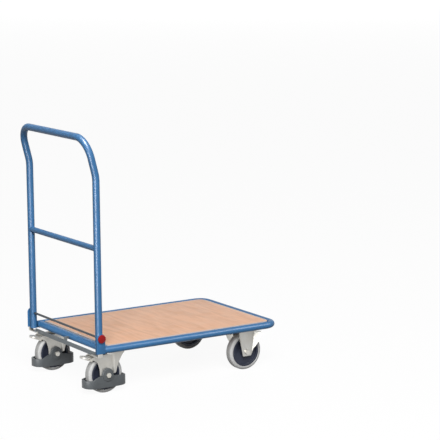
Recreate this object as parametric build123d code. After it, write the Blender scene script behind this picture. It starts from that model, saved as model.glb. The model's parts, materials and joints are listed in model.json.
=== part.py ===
"""Folding platform trolley, erected at rest.

Millimetres. X runs forward along the deck, Y to the left and Z up from the floor. Left and right are
those of the person who pushes the handle at the rear end.
"""

import math
import os

from build123d import *

# Clearances
running_gap = 0.05
seat_gap = 0.05
flat_gap = 0.1
side_gap = 0.5

# Frame tubes
tube_diameter = 25.0
frame_wall = 2.0
frame_length = 700.0
frame_half_width = 245.0
frame_centre_x = 29.0
frame_corner_radius = 40.0
tube_cope_depth = 7.5

# Deck
board_thickness = 12.5
board_below_tube_top = 1.5
board_gap = 0.6
board_corner_radius = 30.0
cross_plate_thickness = 6.0
castor_plate_margin = 8.0
middle_plate_width = 40.0
screw_diameter = 5.0
screw_head_diameter = 9.0
screw_head_height = 3.0
screw_bite = 9.0
screw_spacing = 100.0

# Castors
wheel_diameter = 133.0
castor_over_wheel = 22.0
castor_plate_length = 95.0
castor_plate_width = 85.0
castor_plate_thickness = 3.0
castor_plate_corner = 8.0
castor_bolt_diameter = 8.0
castor_bolt_across_flats = 13.0
castor_bolt_head = 5.3
castor_bolt_pitch_x = 76.0
castor_bolt_pitch_y = 60.0
castor_hole_clearance = 0.5
rear_castor_inset = 58.0
front_castor_inset = 103.0
castor_side_inset = 55.5
fork_sheet = 2.5

# Wheel
tyre_width = 34.0
tread_flat = 14.0
tyre_shoulder_depth = 9.5
tyre_side_height = 3.0
rim_lip_height = 2.0
rim_wall = 5.0
rim_lip_inset = 0.5
rim_lip_width = 2.5
rim_web_depth = 8.5
hub_radius = 20.0
hub_half_width = 22.0
hub_side_gap = 1.0
bush_radius = 11.0
bush_end_inset = 0.5
axle_diameter = 10.0
sleeve_diameter = 12.0
axle_across_flats = 16.0
axle_head_height = 6.0
axle_nut_height = 8.0
axle_thread_end = 1.5

# Fixed fork
fork_top_half_width = 32.5
fork_foot_half_width = 17.5
fork_foot_drop = 14.5
fork_foot_corner = 4.0
fork_flare_angle = 55.0
fork_flare_reach = 27.0
fork_flare_top_drop = 13.0
fork_flare_high_drop = 23.0
fork_flare_mid_reach = 19.5
fork_flare_mid_rise = 33.5
fork_flare_low_reach = 5.0
fork_flare_low_rise = 11.5
fork_flare_end_drop = 8.5

# Swivel fork
trail = 38.0
crown_radius = 40.0
crown_thickness = 3.5
crown_lip = 3.0
crown_lip_height = 6.5
race_outer_radius = 33.0
race_inner_radius = 19.0
race_height = 4.0
ball_diameter = 7.0
ball_circle_radius = 26.0
ball_count = 20
ball_gap = 0.25
kingpin_diameter = 12.0
kingpin_head_diameter = 22.0
kingpin_head_height = 5.0
step_x = -16.0
step_run = 6.0
step_out = 6.5
fork_front_high_x = 25.0
fork_front_high_drop = 1.5
fork_front_mid_x = 10.0
fork_front_mid_rise = 49.5
fork_front_low_x = -6.0
fork_front_low_rise = 6.5
fork_swivel_foot_radius = 20.0
fork_trail_low_back = 27.5
fork_trail_low_drop = 0.5
fork_trail_mid_back = 29.4
fork_trail_mid_rise = 23.5
fork_trail_high_back = 2.3
fork_trail_high_drop = 18.2
fork_tail_back = 32.0
fork_tail_tip_drop = 6.0
fork_tail_drop = 3.4
roof_end_back = 14.0
roof_end_rise = 6.6
roof_mid_back = 2.0
roof_mid_rise = 8.6

# Brake
brake_pin_over_tyre = 5.0
brake_pin_below_top = 3.6
brake_pin_diameter = 5.0
brake_boss_radius = 4.0
brake_press_angle = 10.0
brake_shoe_gap = 0.4
pedal_thickness = 2.5
pedal_width = 38.0
pedal_knee_back = 18.0
pedal_knee_rise = 1.8
pedal_bend_back = 41.0
pedal_bend_rise = 5.8
pedal_tip_back = 53.0
pedal_tip_rise = 6.9
pedal_tip_radius = 13.0
pedal_tip_depth = 6.5
pedal_skirt_back = 33.0
pedal_skirt_drop = 7.0
pedal_skirt_front_back = 8.0
pedal_skirt_front_drop = 4.9
shoe_width = 26.0
shoe_front_back = 7.5
shoe_rear_back = 18.0

# Foot guard
guard_end_gap = 7.5
guard_end_wall = 6.0
guard_outline_reach = 6.0
guard_side_wall = 6.0
guard_corner_radius = 28.0
guard_low_z = 24.5
guard_middle_low_z = 22.0
guard_rear_drop = 14.5
guard_front_drop = 6.0
guard_front_end_drop = 10.5
guard_rear_shoulder_x = -57.0
guard_rear_slope_x = -39.0
guard_rear_slope_drop = 6.0
guard_front_shoulder_x = 45.0
guard_front_corner = 16.0
guard_boss_radius = 21.7
guard_boss_rise = 2.0
guard_boss_overlap = 3.0
guard_boss_join_drop = 2.0
guard_boss_stand = 3.5
guard_boss_face_radius = 21.0

# Pivot brackets, rod and knob
leg_gap = 0.5
bracket_sheet = 2.5
bracket_width = 32.0
bracket_foot_above_tube = 3.5
bracket_flange_inset = 6.0
pivot_above_frame = 32.5
rod_diameter = 8.0
rod_into_knob = 4.5
rod_into_nut = 6.5
washer_diameter = 20.0
washer_thickness = 1.0
knob_diameter = 29.5
knob_length = 7.5
knob_neck_diameter = 20.0
knob_neck_length = 1.5
knob_edge = 1.5
knob_dome = 2.5
knob_flutes = 10
knob_flute_radius = 4.0
knob_flute_depth = 1.2
cap_nut_across_flats = 13.0
cap_nut_height = 5.0
cap_nut_dome = 4.0

# Handle
handle_wall = 1.5
leg_inset = 1.0
leg_below_pivot = 56.0
crossbar_diameter = 20.0
crossbar_above_pivot = 306.5
bend_above_pivot = 535.0
bend_angle = 14.0
bend_radius = 134.0
grip_rise = 119.5
grip_corner_radius = 69.0
pivot_sleeve_diameter = 14.0
pivot_sleeve_stand = 0.7
leg_cap_thickness = 2.5
leg_cap_wall = 2.0
leg_cap_length = 12.0

# Foot rail
rail_thickness = 5.0
rail_height = 14.5
rail_end_inset = 19.0
rail_below_tube = 12.6
rail_tab_width = 18.0
rail_tab_behind = 3.5
rail_tab_thickness = 2.5
rail_tab_lap = 21.0
rail_tab_above_foot = 3.5
strap_width = 14.0
strap_thickness = 3.0

# Places that follow from the sizes above
tube_radius = tube_diameter / 2
wheel_radius = wheel_diameter / 2
castor_height = wheel_diameter + castor_over_wheel
rear_tube_x = frame_centre_x - frame_length / 2
front_tube_x = frame_centre_x + frame_length / 2
board_low_z = castor_height + cross_plate_thickness
board_top_z = board_low_z + board_thickness
frame_top_z = board_top_z + board_below_tube_top
frame_axis_z = frame_top_z - tube_radius
frame_low_z = frame_axis_z - tube_radius
leg_x = rear_tube_x - tube_diameter - leg_gap
leg_half_spacing = frame_half_width - leg_inset
rail_half_length = frame_half_width - rail_end_inset
pivot_z = frame_top_z + pivot_above_frame
leg_end_z = pivot_z - leg_below_pivot
plate_inner_y = frame_half_width + tube_radius
plate_outer_y = plate_inner_y + bracket_sheet
flange_front_x = leg_x + bracket_width / 2
flange_rear_x = flange_front_x - bracket_sheet
castor_half_track = frame_half_width - castor_side_inset
swivel_x = rear_tube_x + rear_castor_inset
front_axle_x = front_tube_x - front_castor_inset
castor_plate_low_z = castor_height - castor_plate_thickness
tyre_side_radius = wheel_radius - tyre_shoulder_depth
rim_lip_radius = tyre_side_radius - tyre_side_height
rim_barrel_radius = rim_lip_radius - rim_lip_height
rim_inner_radius = rim_barrel_radius - rim_wall
rim_lip_half_width = tyre_width / 2 - rim_lip_inset
rim_barrel_half_width = rim_lip_half_width - rim_lip_width
rim_web_half_width = rim_lip_half_width - rim_web_depth
fork_flare_top_z = castor_height - fork_flare_top_drop
fork_flare_high_z = castor_height - fork_flare_high_drop
fork_flare_mid_z = wheel_radius + fork_flare_mid_rise
fork_flare_low_z = wheel_radius + fork_flare_low_rise
fork_flare_end_z = wheel_radius - fork_flare_end_drop
fork_inner = hub_half_width + hub_side_gap
fork_outer = fork_inner + fork_sheet
guard_outer = fork_outer + flat_gap + guard_side_wall
guard_face = guard_outer + guard_boss_stand
race_low_z = castor_plate_low_z - race_height
crown_top_z = race_low_z - ball_diameter - 2 * ball_gap
crown_low_z = crown_top_z - crown_thickness
brake_pin_z = wheel_diameter - brake_pin_below_top
brake_pin_reach = wheel_radius + brake_pin_over_tyre
brake_pin_x = -trail - math.sqrt(brake_pin_reach**2 - (brake_pin_z - wheel_radius) ** 2)
fork_front_high = (fork_front_high_x, crown_top_z - fork_front_high_drop)
fork_front_mid = (fork_front_mid_x, wheel_radius + fork_front_mid_rise)
fork_front_low = (fork_front_low_x, wheel_radius + fork_front_low_rise)
fork_trail_low = (-trail - fork_trail_low_back, wheel_radius - fork_trail_low_drop)
fork_trail_mid = (-trail - fork_trail_mid_back, wheel_radius + fork_trail_mid_rise)
fork_trail_high = (brake_pin_x - fork_trail_high_back, brake_pin_z - fork_trail_high_drop)
fork_tail_tip = (brake_pin_x - fork_tail_back, brake_pin_z - fork_tail_tip_drop)
fork_tail_z = brake_pin_z - fork_tail_drop
roof_end_x = brake_pin_x - roof_end_back
roof_end_z = brake_pin_z + roof_end_rise
roof_mid_x = -trail - roof_mid_back
roof_mid_z = brake_pin_z + roof_mid_rise
pedal_knee_x = brake_pin_x - pedal_knee_back
pedal_knee_z = brake_pin_z + pedal_knee_rise
pedal_bend_x = brake_pin_x - pedal_bend_back
pedal_bend_z = brake_pin_z + pedal_bend_rise
pedal_tip_x = brake_pin_x - pedal_tip_back
pedal_tip_z = brake_pin_z + pedal_tip_rise
pedal_skirt_x = brake_pin_x - pedal_skirt_back
pedal_skirt_z = brake_pin_z - pedal_skirt_drop
pedal_skirt_front_x = brake_pin_x - pedal_skirt_front_back
pedal_skirt_front_z = brake_pin_z - pedal_skirt_front_drop
shoe_front_x = brake_pin_x - shoe_front_back
shoe_rear_x = brake_pin_x - shoe_rear_back
guard_half_length = wheel_radius + guard_end_gap + guard_end_wall
guard_rear_top_z = wheel_radius - guard_rear_drop
guard_front_top_z = wheel_radius - guard_front_drop
guard_front_end_z = wheel_radius - guard_front_end_drop
guard_rear_shoulder = (guard_rear_shoulder_x, guard_rear_top_z)
guard_rear_slope = (guard_rear_slope_x, wheel_radius - guard_rear_slope_drop)
guard_front_shoulder = (guard_front_shoulder_x, guard_front_top_z)
guard_front_corner_x = guard_half_length - guard_front_corner
guard_boss_join_z = wheel_radius - guard_boss_join_drop
bracket_foot_z = frame_low_z + bracket_foot_above_tube


def face_of(*points):
    """Closed straight-sided face through points given in one plane."""
    return make_face(Polyline(*points, close=True))


def across(face, low_y, high_y):
    """Solid of an XZ face between two values of Y."""
    return Pos(0, high_y, 0) * extrude(Plane.XZ * face, amount=high_y - low_y)


def upright(face, low_z, high_z):
    """Solid of an XY face between two values of Z."""
    return Pos(0, 0, low_z) * extrude(face, amount=high_z - low_z)


def arc_middle(flat_end, other_end):
    """Middle point of the arc that leaves flat_end straight along the second coordinate."""
    drop = flat_end[0] - other_end[0]
    run = other_end[1] - flat_end[1]
    radius = (drop**2 + run**2) / (2 * drop)
    turn = math.atan2(run, radius - drop) / 2
    return (flat_end[0] - radius + radius * math.cos(turn), flat_end[1] + radius * math.sin(turn))


def dome(base_radius, base_y, height):
    """Arc from the base of a dome to its top on the Y axis."""
    top, low = arc_middle((base_y + height, 0), (base_y, base_radius))
    return ThreePointArc((base_radius, base_y), (low, top), (0, base_y + height))


def rod_y(radius, low_y, high_y):
    """Round bar along Y, centred on the Y axis."""
    return Pos(0, (low_y + high_y) / 2, 0) * Rot(90, 0, 0) * Cylinder(radius, high_y - low_y)


def rod_z(radius, low_z, high_z):
    """Round bar along Z, centred on the Z axis."""
    return Pos(0, 0, (low_z + high_z) / 2) * Cylinder(radius, high_z - low_z)


def hexagon_y(flats, low_y, high_y):
    """Hexagonal bar along Y, centred on the Y axis."""
    return across(RegularPolygon(flats / 2, 6, major_radius=False), low_y, high_y)


def tube_along(path, diameter, wall):
    """Tube of one diameter along a path."""
    start = Plane(origin=path @ 0, z_dir=path % 0)
    ring = Circle(diameter / 2) - Circle(diameter / 2 - wall)
    return sweep(start * ring, path=path)


def both_sides(shape):
    """The shape and its mirror image across the middle of the trolley."""
    return [shape, mirror(shape, about=Plane.XZ)]


def save(name, *shapes):
    """Writes one node, as one solid or as a group of separate solids."""
    if len(shapes) == 1:
        export_step(shapes[0], f"parts/{name}.step")
    else:
        export_step(Compound(children=list(shapes)), f"parts/{name}.step")


def perimeter_tube():
    """The two long sides and the front end, bent from one tube."""
    path = FilletPolyline(
        (flange_front_x + flat_gap, frame_half_width, frame_axis_z),
        (front_tube_x, frame_half_width, frame_axis_z),
        (front_tube_x, -frame_half_width, frame_axis_z),
        (flange_front_x + flat_gap, -frame_half_width, frame_axis_z),
        radius=frame_corner_radius,
    )
    return tube_along(path, tube_diameter, frame_wall)


def rear_tube():
    """The rear end tube, coped to the long sides."""
    reach = frame_half_width - tube_radius + tube_cope_depth
    tube = rod_y(tube_radius, -reach, reach) - rod_y(tube_radius - frame_wall, -reach, reach)
    cope = Rot(0, 90, 0) * Cylinder(tube_radius + seat_gap, 4 * tube_diameter)
    for side in (1, -1):
        tube -= Pos(0, side * frame_half_width, 0) * cope
    return Pos(rear_tube_x, 0, frame_axis_z) * tube


def bracket():
    """Left pivot bracket: rounded side plate with a flange that closes the long tube."""
    half = bracket_width / 2
    plate = face_of(
        (leg_x - half, bracket_foot_z),
        (leg_x + half, bracket_foot_z),
        (leg_x + half, pivot_z),
        (leg_x - half, pivot_z),
    )
    plate += Pos(leg_x, pivot_z) * Circle(half)
    plate -= Pos(leg_x, pivot_z) * Circle(rod_diameter / 2 + running_gap)
    flange_low_y = frame_half_width - bracket_flange_inset
    flange = face_of(
        (flange_rear_x, frame_low_z),
        (flange_front_x, frame_low_z),
        (flange_front_x, frame_top_z),
        (flange_rear_x, frame_top_z),
    )
    return across(plate, plate_inner_y, plate_outer_y) + across(flange, flange_low_y, plate_inner_y)


def cross_plate(low_x, high_x):
    """Flat plate between the long tubes that carries the board."""
    drop = frame_axis_z - board_low_z
    half_y = frame_half_width - math.sqrt(tube_radius**2 - drop**2) - flat_gap
    face = Pos((low_x + high_x) / 2, 0) * Rectangle(high_x - low_x, 2 * half_y)
    return upright(face, castor_height, board_low_z)


def castor_bolt_places(centre_x):
    """Bolt centres of the two castors at one end of the deck."""
    half_x = castor_bolt_pitch_x / 2
    half_y = castor_bolt_pitch_y / 2
    return [
        (centre_x + along * half_x, side * castor_half_track + across_y * half_y)
        for side in (1, -1)
        for along in (1, -1)
        for across_y in (1, -1)
    ]


def drilled(plate, places, radius):
    """Plate with round upright holes at the places."""
    for x, y in places:
        plate -= Pos(x, y, 0) * rod_z(radius, 0, 2 * castor_height)
    return plate


def deck_screw_places():
    """Screw centres: a row across each cross plate."""
    rows = (swivel_x, frame_centre_x, front_axle_x)
    return [(x, n * screw_spacing) for x in rows for n in (-1, 0, 1)]


def deck_board():
    """Board that drops in between the tubes, rounded at the two front corners."""
    low_x = rear_tube_x + tube_radius + board_gap
    high_x = front_tube_x - tube_radius - board_gap
    half_y = frame_half_width - tube_radius - board_gap
    face = Pos((low_x + high_x) / 2, 0) * Rectangle(high_x - low_x, 2 * half_y)
    front_corners = face.vertices().group_by(Axis.X)[-1]
    board = upright(fillet(front_corners, board_corner_radius), board_low_z, board_top_z)
    hole = rod_z(screw_diameter / 2 + seat_gap, board_low_z, board_low_z + screw_bite + flat_gap)
    for x, y in deck_screw_places():
        board -= Pos(x, y, 0) * hole
    return board


def deck_screw():
    """Pan-head screw, driven up through a cross plate into the board."""
    head_low = castor_height - flat_gap - screw_head_height
    head = rod_z(screw_head_diameter / 2, head_low, castor_height - flat_gap)
    return head + rod_z(screw_diameter / 2, head_low, board_low_z + screw_bite)


def rail_tab(gap):
    """Left end tab of the foot rail, turned up under the bracket, with a gap round its flat part."""
    low_z = frame_low_z - rail_below_tube + rail_tab_above_foot
    start_y = rail_half_length - rail_tab_lap
    length = plate_outer_y - start_y + 2 * gap
    place = Pos(leg_x - rail_tab_behind, (start_y + plate_outer_y) / 2)
    face = place * Rectangle(rail_tab_width + 2 * gap, length)
    tab = upright(face, low_z - gap, low_z + rail_tab_thickness + gap)
    lug_place = Pos(leg_x - rail_tab_behind, plate_outer_y - rail_tab_thickness / 2)
    lug = upright(lug_place * Rectangle(rail_tab_width, rail_tab_thickness), low_z, bracket_foot_z - flat_gap)
    return tab + lug


def foot_rail():
    """Flat rail across the rear end, slotted for a thin tab at each end."""
    low_z = frame_low_z - rail_below_tube
    bar = Pos(leg_x, 0, low_z + rail_height / 2) * Box(rail_thickness, 2 * rail_half_length, rail_height)
    for slot in both_sides(rail_tab(flat_gap)):
        bar -= slot
    return bar


def rail_strap():
    """Flat strap in the middle, from the foot rail up to the rear tube."""
    rail_top = frame_low_z - rail_below_tube + rail_height + flat_gap
    front_x = rear_tube_x - tube_radius - flat_gap
    rear_x = leg_x - strap_thickness / 2
    face = face_of(
        (rear_x, rail_top),
        (rear_x + strap_thickness, rail_top),
        (rear_x + strap_thickness, frame_axis_z - strap_thickness / 2),
        (front_x, frame_axis_z - strap_thickness / 2),
        (front_x, frame_axis_z + strap_thickness / 2),
        (rear_x, frame_axis_z + strap_thickness / 2),
    )
    return across(face, -strap_width / 2, strap_width / 2)


def pivot_rod():
    """Rod through both brackets and both legs."""
    right_end = -(plate_outer_y + washer_thickness + 2 * flat_gap + rod_into_knob)
    left_end = plate_outer_y + washer_thickness + 2 * flat_gap + rod_into_nut
    return Pos(leg_x, 0, pivot_z) * rod_y(rod_diameter / 2, right_end, left_end)


def rod_washer():
    """Left washer on the rod, outside the bracket."""
    low_y = plate_outer_y + flat_gap
    ring = rod_y(washer_diameter / 2, low_y, low_y + washer_thickness)
    ring -= rod_y(rod_diameter / 2 + seat_gap, low_y, low_y + washer_thickness)
    return Pos(leg_x, 0, pivot_z) * ring


def cap_nut():
    """Domed nut on the left end of the rod."""
    low_y = plate_outer_y + washer_thickness + 2 * flat_gap
    top_y = low_y + cap_nut_height
    nut = hexagon_y(cap_nut_across_flats, low_y, top_y)
    dome_radius = cap_nut_across_flats / 2 - side_gap
    profile = make_face(
        Polyline((0, top_y + cap_nut_dome), (0, top_y), (dome_radius, top_y))
        + dome(dome_radius, top_y, cap_nut_dome)
    )
    nut += revolve(profile, axis=Axis.Y)
    nut -= rod_y(rod_diameter / 2 + seat_gap, low_y, low_y + rod_into_nut + flat_gap)
    return Pos(leg_x, 0, pivot_z) * nut


def knob():
    """Fluted clamp knob on the right end of the rod."""
    low_y = plate_outer_y + washer_thickness + 2 * flat_gap
    neck_y = low_y + knob_neck_length
    end_y = low_y + knob_length
    grip = knob_diameter / 2
    neck = knob_neck_diameter / 2
    profile = make_face(
        Polyline((0, end_y), (0, low_y), (neck, low_y), (neck, neck_y), (grip - knob_edge, neck_y))
        + Polyline((grip - knob_edge, neck_y), (grip, neck_y + knob_edge), (grip, end_y - knob_dome))
        + dome(grip, end_y - knob_dome, knob_dome)
    )
    body = revolve(profile, axis=Axis.Y)
    flute_radius = grip + knob_flute_radius - knob_flute_depth
    for n in range(knob_flutes):
        turn = Rot(0, n * 360 / knob_flutes, 0) * Pos(flute_radius, 0, 0)
        body -= turn * rod_y(knob_flute_radius, neck_y, end_y + 1)
    body -= rod_y(rod_diameter / 2 + running_gap, low_y, low_y + rod_into_knob + side_gap)
    return Pos(leg_x, 0, pivot_z) * mirror(body, about=Plane.XZ)


def handle_path():
    """Centre line of the bent handle tube, from the left leg end round to the right one."""
    turn = math.radians(bend_angle)
    bend_z = pivot_z + bend_above_pivot

    def on_bend(angle):
        """Point of the leg's bend after turning by an angle."""
        return (leg_x - bend_radius * (1 - math.cos(angle)), bend_z + bend_radius * math.sin(angle))

    bend_end = on_bend(turn)
    slope = (-math.sin(turn), math.cos(turn))

    def on_slope(along, y):
        """Point of the sloped grip plane."""
        return Vector(bend_end[0] + slope[0] * along, y, bend_end[1] + slope[1] * along)

    start = Vector(leg_x, leg_half_spacing, leg_end_z)
    low = Vector(leg_x, leg_half_spacing, bend_z)
    mid = on_bend(turn / 2)
    high = on_slope(0, leg_half_spacing)
    corner = grip_corner_radius
    corner_start = on_slope(grip_rise - corner, leg_half_spacing)
    diagonal = corner * (1 - math.sqrt(0.5))
    corner_mid = on_slope(grip_rise - diagonal, leg_half_spacing - diagonal)
    corner_end = on_slope(grip_rise, leg_half_spacing - corner)
    half = [
        Line(start, low),
        ThreePointArc(low, Vector(mid[0], leg_half_spacing, mid[1]), high),
        Line(high, corner_start),
        ThreePointArc(corner_start, corner_mid, corner_end),
    ]
    grip = Line(corner_end, Vector(corner_end.X, -corner_end.Y, corner_end.Z))
    other = [mirror(edge, about=Plane.XZ) for edge in reversed(half)]
    return Wire([edge for curve in half + [grip] + other for edge in curve.edges()])


def handle_tube():
    """The bent handle with a cross hole for a pivot sleeve in each leg."""
    tube = tube_along(handle_path(), tube_diameter, handle_wall)
    hole = rod_y(pivot_sleeve_diameter / 2 + seat_gap, -tube_diameter, tube_diameter)
    for side in (1, -1):
        tube -= Pos(leg_x, side * leg_half_spacing, pivot_z) * hole
    return tube


def crossbar():
    """Straight tube between the legs, coped to them."""
    reach = leg_half_spacing - tube_radius + tube_cope_depth
    radius = crossbar_diameter / 2
    tube = rod_y(radius, -reach, reach) - rod_y(radius - handle_wall, -reach, reach)
    for side in (1, -1):
        tube -= Pos(0, side * leg_half_spacing, 0) * Cylinder(tube_radius + seat_gap, 4 * tube_diameter)
    return Pos(leg_x, 0, pivot_z + crossbar_above_pivot) * tube


def pivot_sleeve():
    """Left sleeve through the leg that the rod passes through."""
    reach = tube_radius + pivot_sleeve_stand
    bore = rod_y(rod_diameter / 2 + running_gap, -reach, reach)
    sleeve = rod_y(pivot_sleeve_diameter / 2, -reach, reach) - bore
    return Pos(leg_x, leg_half_spacing, pivot_z) * sleeve


def leg_cap():
    """Left end cap, flush in the open end of the leg."""
    radius = tube_radius - handle_wall - seat_gap
    cap = rod_z(radius, leg_end_z, leg_end_z + leg_cap_length)
    cap -= rod_z(radius - leg_cap_wall, leg_end_z + leg_cap_thickness, leg_end_z + leg_cap_length)
    return Pos(leg_x, leg_half_spacing, 0) * cap


def tyre():
    """Crowned tyre about the Y axis."""
    half = tyre_width / 2
    flat = tread_flat / 2
    lip = rim_lip_radius + seat_gap
    barrel = rim_barrel_radius + seat_gap
    barrel_half = rim_barrel_half_width - seat_gap
    shoulder = arc_middle((wheel_radius, flat), (tyre_side_radius, half))
    profile = (
        Polyline((wheel_radius, -flat), (wheel_radius, flat))
        + ThreePointArc((wheel_radius, flat), shoulder, (tyre_side_radius, half))
        + Polyline(
            (tyre_side_radius, half),
            (lip + 2, half),
            (lip, rim_lip_half_width - 0.2),
            (lip, barrel_half),
            (barrel, barrel_half),
            (barrel, -barrel_half),
            (lip, -barrel_half),
            (lip, -rim_lip_half_width + 0.2),
            (lip + 2, -half),
            (tyre_side_radius, -half),
        )
        + ThreePointArc((tyre_side_radius, -half), (shoulder[0], -shoulder[1]), (wheel_radius, -flat))
    )
    return revolve(make_face(profile), axis=Axis.Y)


def rim():
    """Moulded rim about the Y axis, dished on both faces."""
    half = [
        (bush_radius + seat_gap, hub_half_width),
        (hub_radius - 2, hub_half_width),
        (hub_radius, rim_web_half_width),
        (rim_inner_radius - 2, rim_web_half_width),
        (rim_inner_radius, rim_lip_half_width),
        (rim_lip_radius, rim_lip_half_width),
        (rim_lip_radius, rim_barrel_half_width),
        (rim_barrel_radius, rim_barrel_half_width),
    ]
    other = [(radius, -y) for radius, y in reversed(half)]
    return revolve(face_of(*half, *other), axis=Axis.Y)


def bush():
    """Plain bearing bush pressed in the hub."""
    reach = hub_half_width - bush_end_inset
    return rod_y(bush_radius, -reach, reach) - rod_y(sleeve_diameter / 2 + running_gap, -reach, reach)


def axle_sleeve():
    """Sleeve between the fork sides that the bush turns on."""
    reach = fork_inner - flat_gap
    return rod_y(sleeve_diameter / 2, -reach, reach) - rod_y(axle_diameter / 2 + seat_gap, -reach, reach)


def axle_bolt(seat_y):
    """Axle bolt with its head on the right, seated at a distance from the wheel's middle."""
    end_y = seat_y + flat_gap + axle_nut_height + axle_thread_end
    shank = rod_y(axle_diameter / 2, -seat_y - flat_gap, end_y)
    return shank + hexagon_y(axle_across_flats, -seat_y - flat_gap - axle_head_height, -seat_y - flat_gap)


def axle_nut(seat_y):
    """Nut on the left end of the axle bolt."""
    low_y = seat_y + flat_gap
    nut = hexagon_y(axle_across_flats, low_y, low_y + axle_nut_height)
    return nut - rod_y(axle_diameter / 2 + seat_gap, low_y, low_y + axle_nut_height)


def castor_plate():
    """Top plate of a castor about its own upright axis."""
    face = RectangleRounded(castor_plate_length, castor_plate_width, castor_plate_corner)
    for x in (1, -1):
        for y in (1, -1):
            hole = Circle(castor_bolt_diameter / 2 + castor_hole_clearance)
            face -= Pos(x * castor_bolt_pitch_x / 2, y * castor_bolt_pitch_y / 2) * hole
    return upright(face, castor_plate_low_z, castor_height)


def castor_bolt():
    """Hexagon bolt driven up through a castor plate into a cross plate."""
    head_top = castor_plate_low_z - flat_gap
    hexagon = RegularPolygon(castor_bolt_across_flats / 2, 6, major_radius=False)
    head = upright(hexagon, head_top - castor_bolt_head, head_top)
    return head + rod_z(castor_bolt_diameter / 2, head_top - castor_bolt_head, board_low_z - flat_gap)


def sheet_plan(points, thickness):
    """Plan face of bent sheet, from the points of its inner side to an equal step outward in Y."""
    outer = [(x, y + thickness) for x, y in reversed(points)]
    return face_of(*points, *outer)


def fixed_fork():
    """Pressed fork of a front castor with flared edges, about the castor's own upright axis."""
    turn = math.radians(fork_flare_angle)
    foot_z = wheel_radius - fork_foot_drop
    taper = (fork_top_half_width - fork_foot_half_width) / (fork_flare_top_z - foot_z)

    def flare_point(side, z, reach):
        """Point of a flare at a height and a distance out from its slanted bend."""
        half = fork_foot_half_width + taper * (z - foot_z)
        return (side * (half + reach * math.cos(turn)), fork_inner + reach * math.sin(turn), z)

    def flare(side):
        """Flared edge on one side of the left plate."""
        top = flare_point(side, fork_flare_top_z, 0)
        corner = flare_point(side, fork_flare_top_z, fork_flare_reach)
        high = flare_point(side, fork_flare_high_z, fork_flare_reach)
        mid = flare_point(side, fork_flare_mid_z, fork_flare_mid_reach)
        low = flare_point(side, fork_flare_low_z, fork_flare_low_reach)
        end = flare_point(side, fork_flare_end_z, 0)
        edge = Polyline(top, corner, high) + ThreePointArc(high, mid, low) + Polyline(low, end, top)
        return extrude(make_face(edge), amount=fork_sheet, dir=(0, 1, 0))

    outline = face_of(
        (-fork_foot_half_width, foot_z),
        (fork_foot_half_width, foot_z),
        (fork_top_half_width, fork_flare_top_z),
        (fork_top_half_width, castor_plate_low_z),
        (-fork_top_half_width, castor_plate_low_z),
        (-fork_top_half_width, fork_flare_top_z),
    )
    outline = fillet(outline.vertices().group_by(Axis.Y)[0], fork_foot_corner)
    side_plate = across(outline, fork_inner, fork_outer) + flare(1) + flare(-1)
    fork = castor_plate()
    for plate in both_sides(side_plate):
        fork += plate
    bore = rod_y(axle_diameter / 2 + seat_gap, -castor_plate_width, castor_plate_width)
    return fork - Pos(0, 0, wheel_radius) * bore


def swivel_plate():
    """Top plate of a rear castor with the upper ball race, about the swivel axis."""
    plate = castor_plate()
    plate += rod_z(race_outer_radius, race_low_z, castor_plate_low_z)
    plate -= rod_z(race_inner_radius, race_low_z, castor_plate_low_z)
    return plate - rod_z(kingpin_diameter / 2 + seat_gap, race_low_z, castor_height)


def kingpin():
    """Headed pin that holds the swivel fork to its top plate."""
    head_top = crown_low_z - ball_gap
    head = rod_z(kingpin_head_diameter / 2, head_top - kingpin_head_height, head_top)
    return head + rod_z(kingpin_diameter / 2, head_top - kingpin_head_height, castor_height - flat_gap)


def swivel_balls():
    """Ring of balls between the race and the crown."""
    middle_z = (race_low_z + crown_top_z) / 2
    step = 360 / ball_count
    ball = Pos(ball_circle_radius, 0, middle_z) * Sphere(ball_diameter / 2)
    return [Rot(0, 0, n * step) * ball for n in range(ball_count)]


def swivel_side():
    """Left side of the swivel fork: flat beside the wheel, stepped out in front of it."""
    reach = crown_radius
    plan = sheet_plan(
        [
            (fork_tail_tip[0], fork_inner),
            (step_x, fork_inner),
            (step_x + step_run, fork_inner + step_out),
            (reach, fork_inner + step_out),
        ],
        fork_sheet,
    )
    foot = fork_swivel_foot_radius
    outline = make_face(
        Polyline((fork_front_high[0], crown_top_z), fork_front_high)
        + ThreePointArc(fork_front_high, fork_front_mid, fork_front_low)
        + Polyline(
            fork_front_low,
            (-trail + foot, wheel_radius),
            (-trail - foot, wheel_radius),
            fork_trail_low,
        )
        + ThreePointArc(fork_trail_low, fork_trail_mid, fork_trail_high)
        + ThreePointArc(
            fork_trail_high,
            ((fork_trail_high[0] + fork_tail_tip[0]) / 2 + 4, fork_tail_tip[1] - 2.5),
            fork_tail_tip,
        )
        + Polyline(
            fork_tail_tip,
            (fork_tail_tip[0], fork_tail_z),
            (roof_end_x, roof_end_z),
            (roof_mid_x, roof_mid_z),
            (step_x, crown_top_z),
            (fork_front_high[0], crown_top_z),
        )
    )
    outline += Pos(-trail, wheel_radius) * Circle(foot)
    outline -= Pos(-trail, wheel_radius) * Circle(axle_diameter / 2 + seat_gap)
    outline -= Pos(brake_pin_x, brake_pin_z) * Circle(brake_pin_diameter / 2 + seat_gap)
    return upright(plan, 0, castor_height) & across(outline, fork_inner, castor_plate_width)


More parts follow.
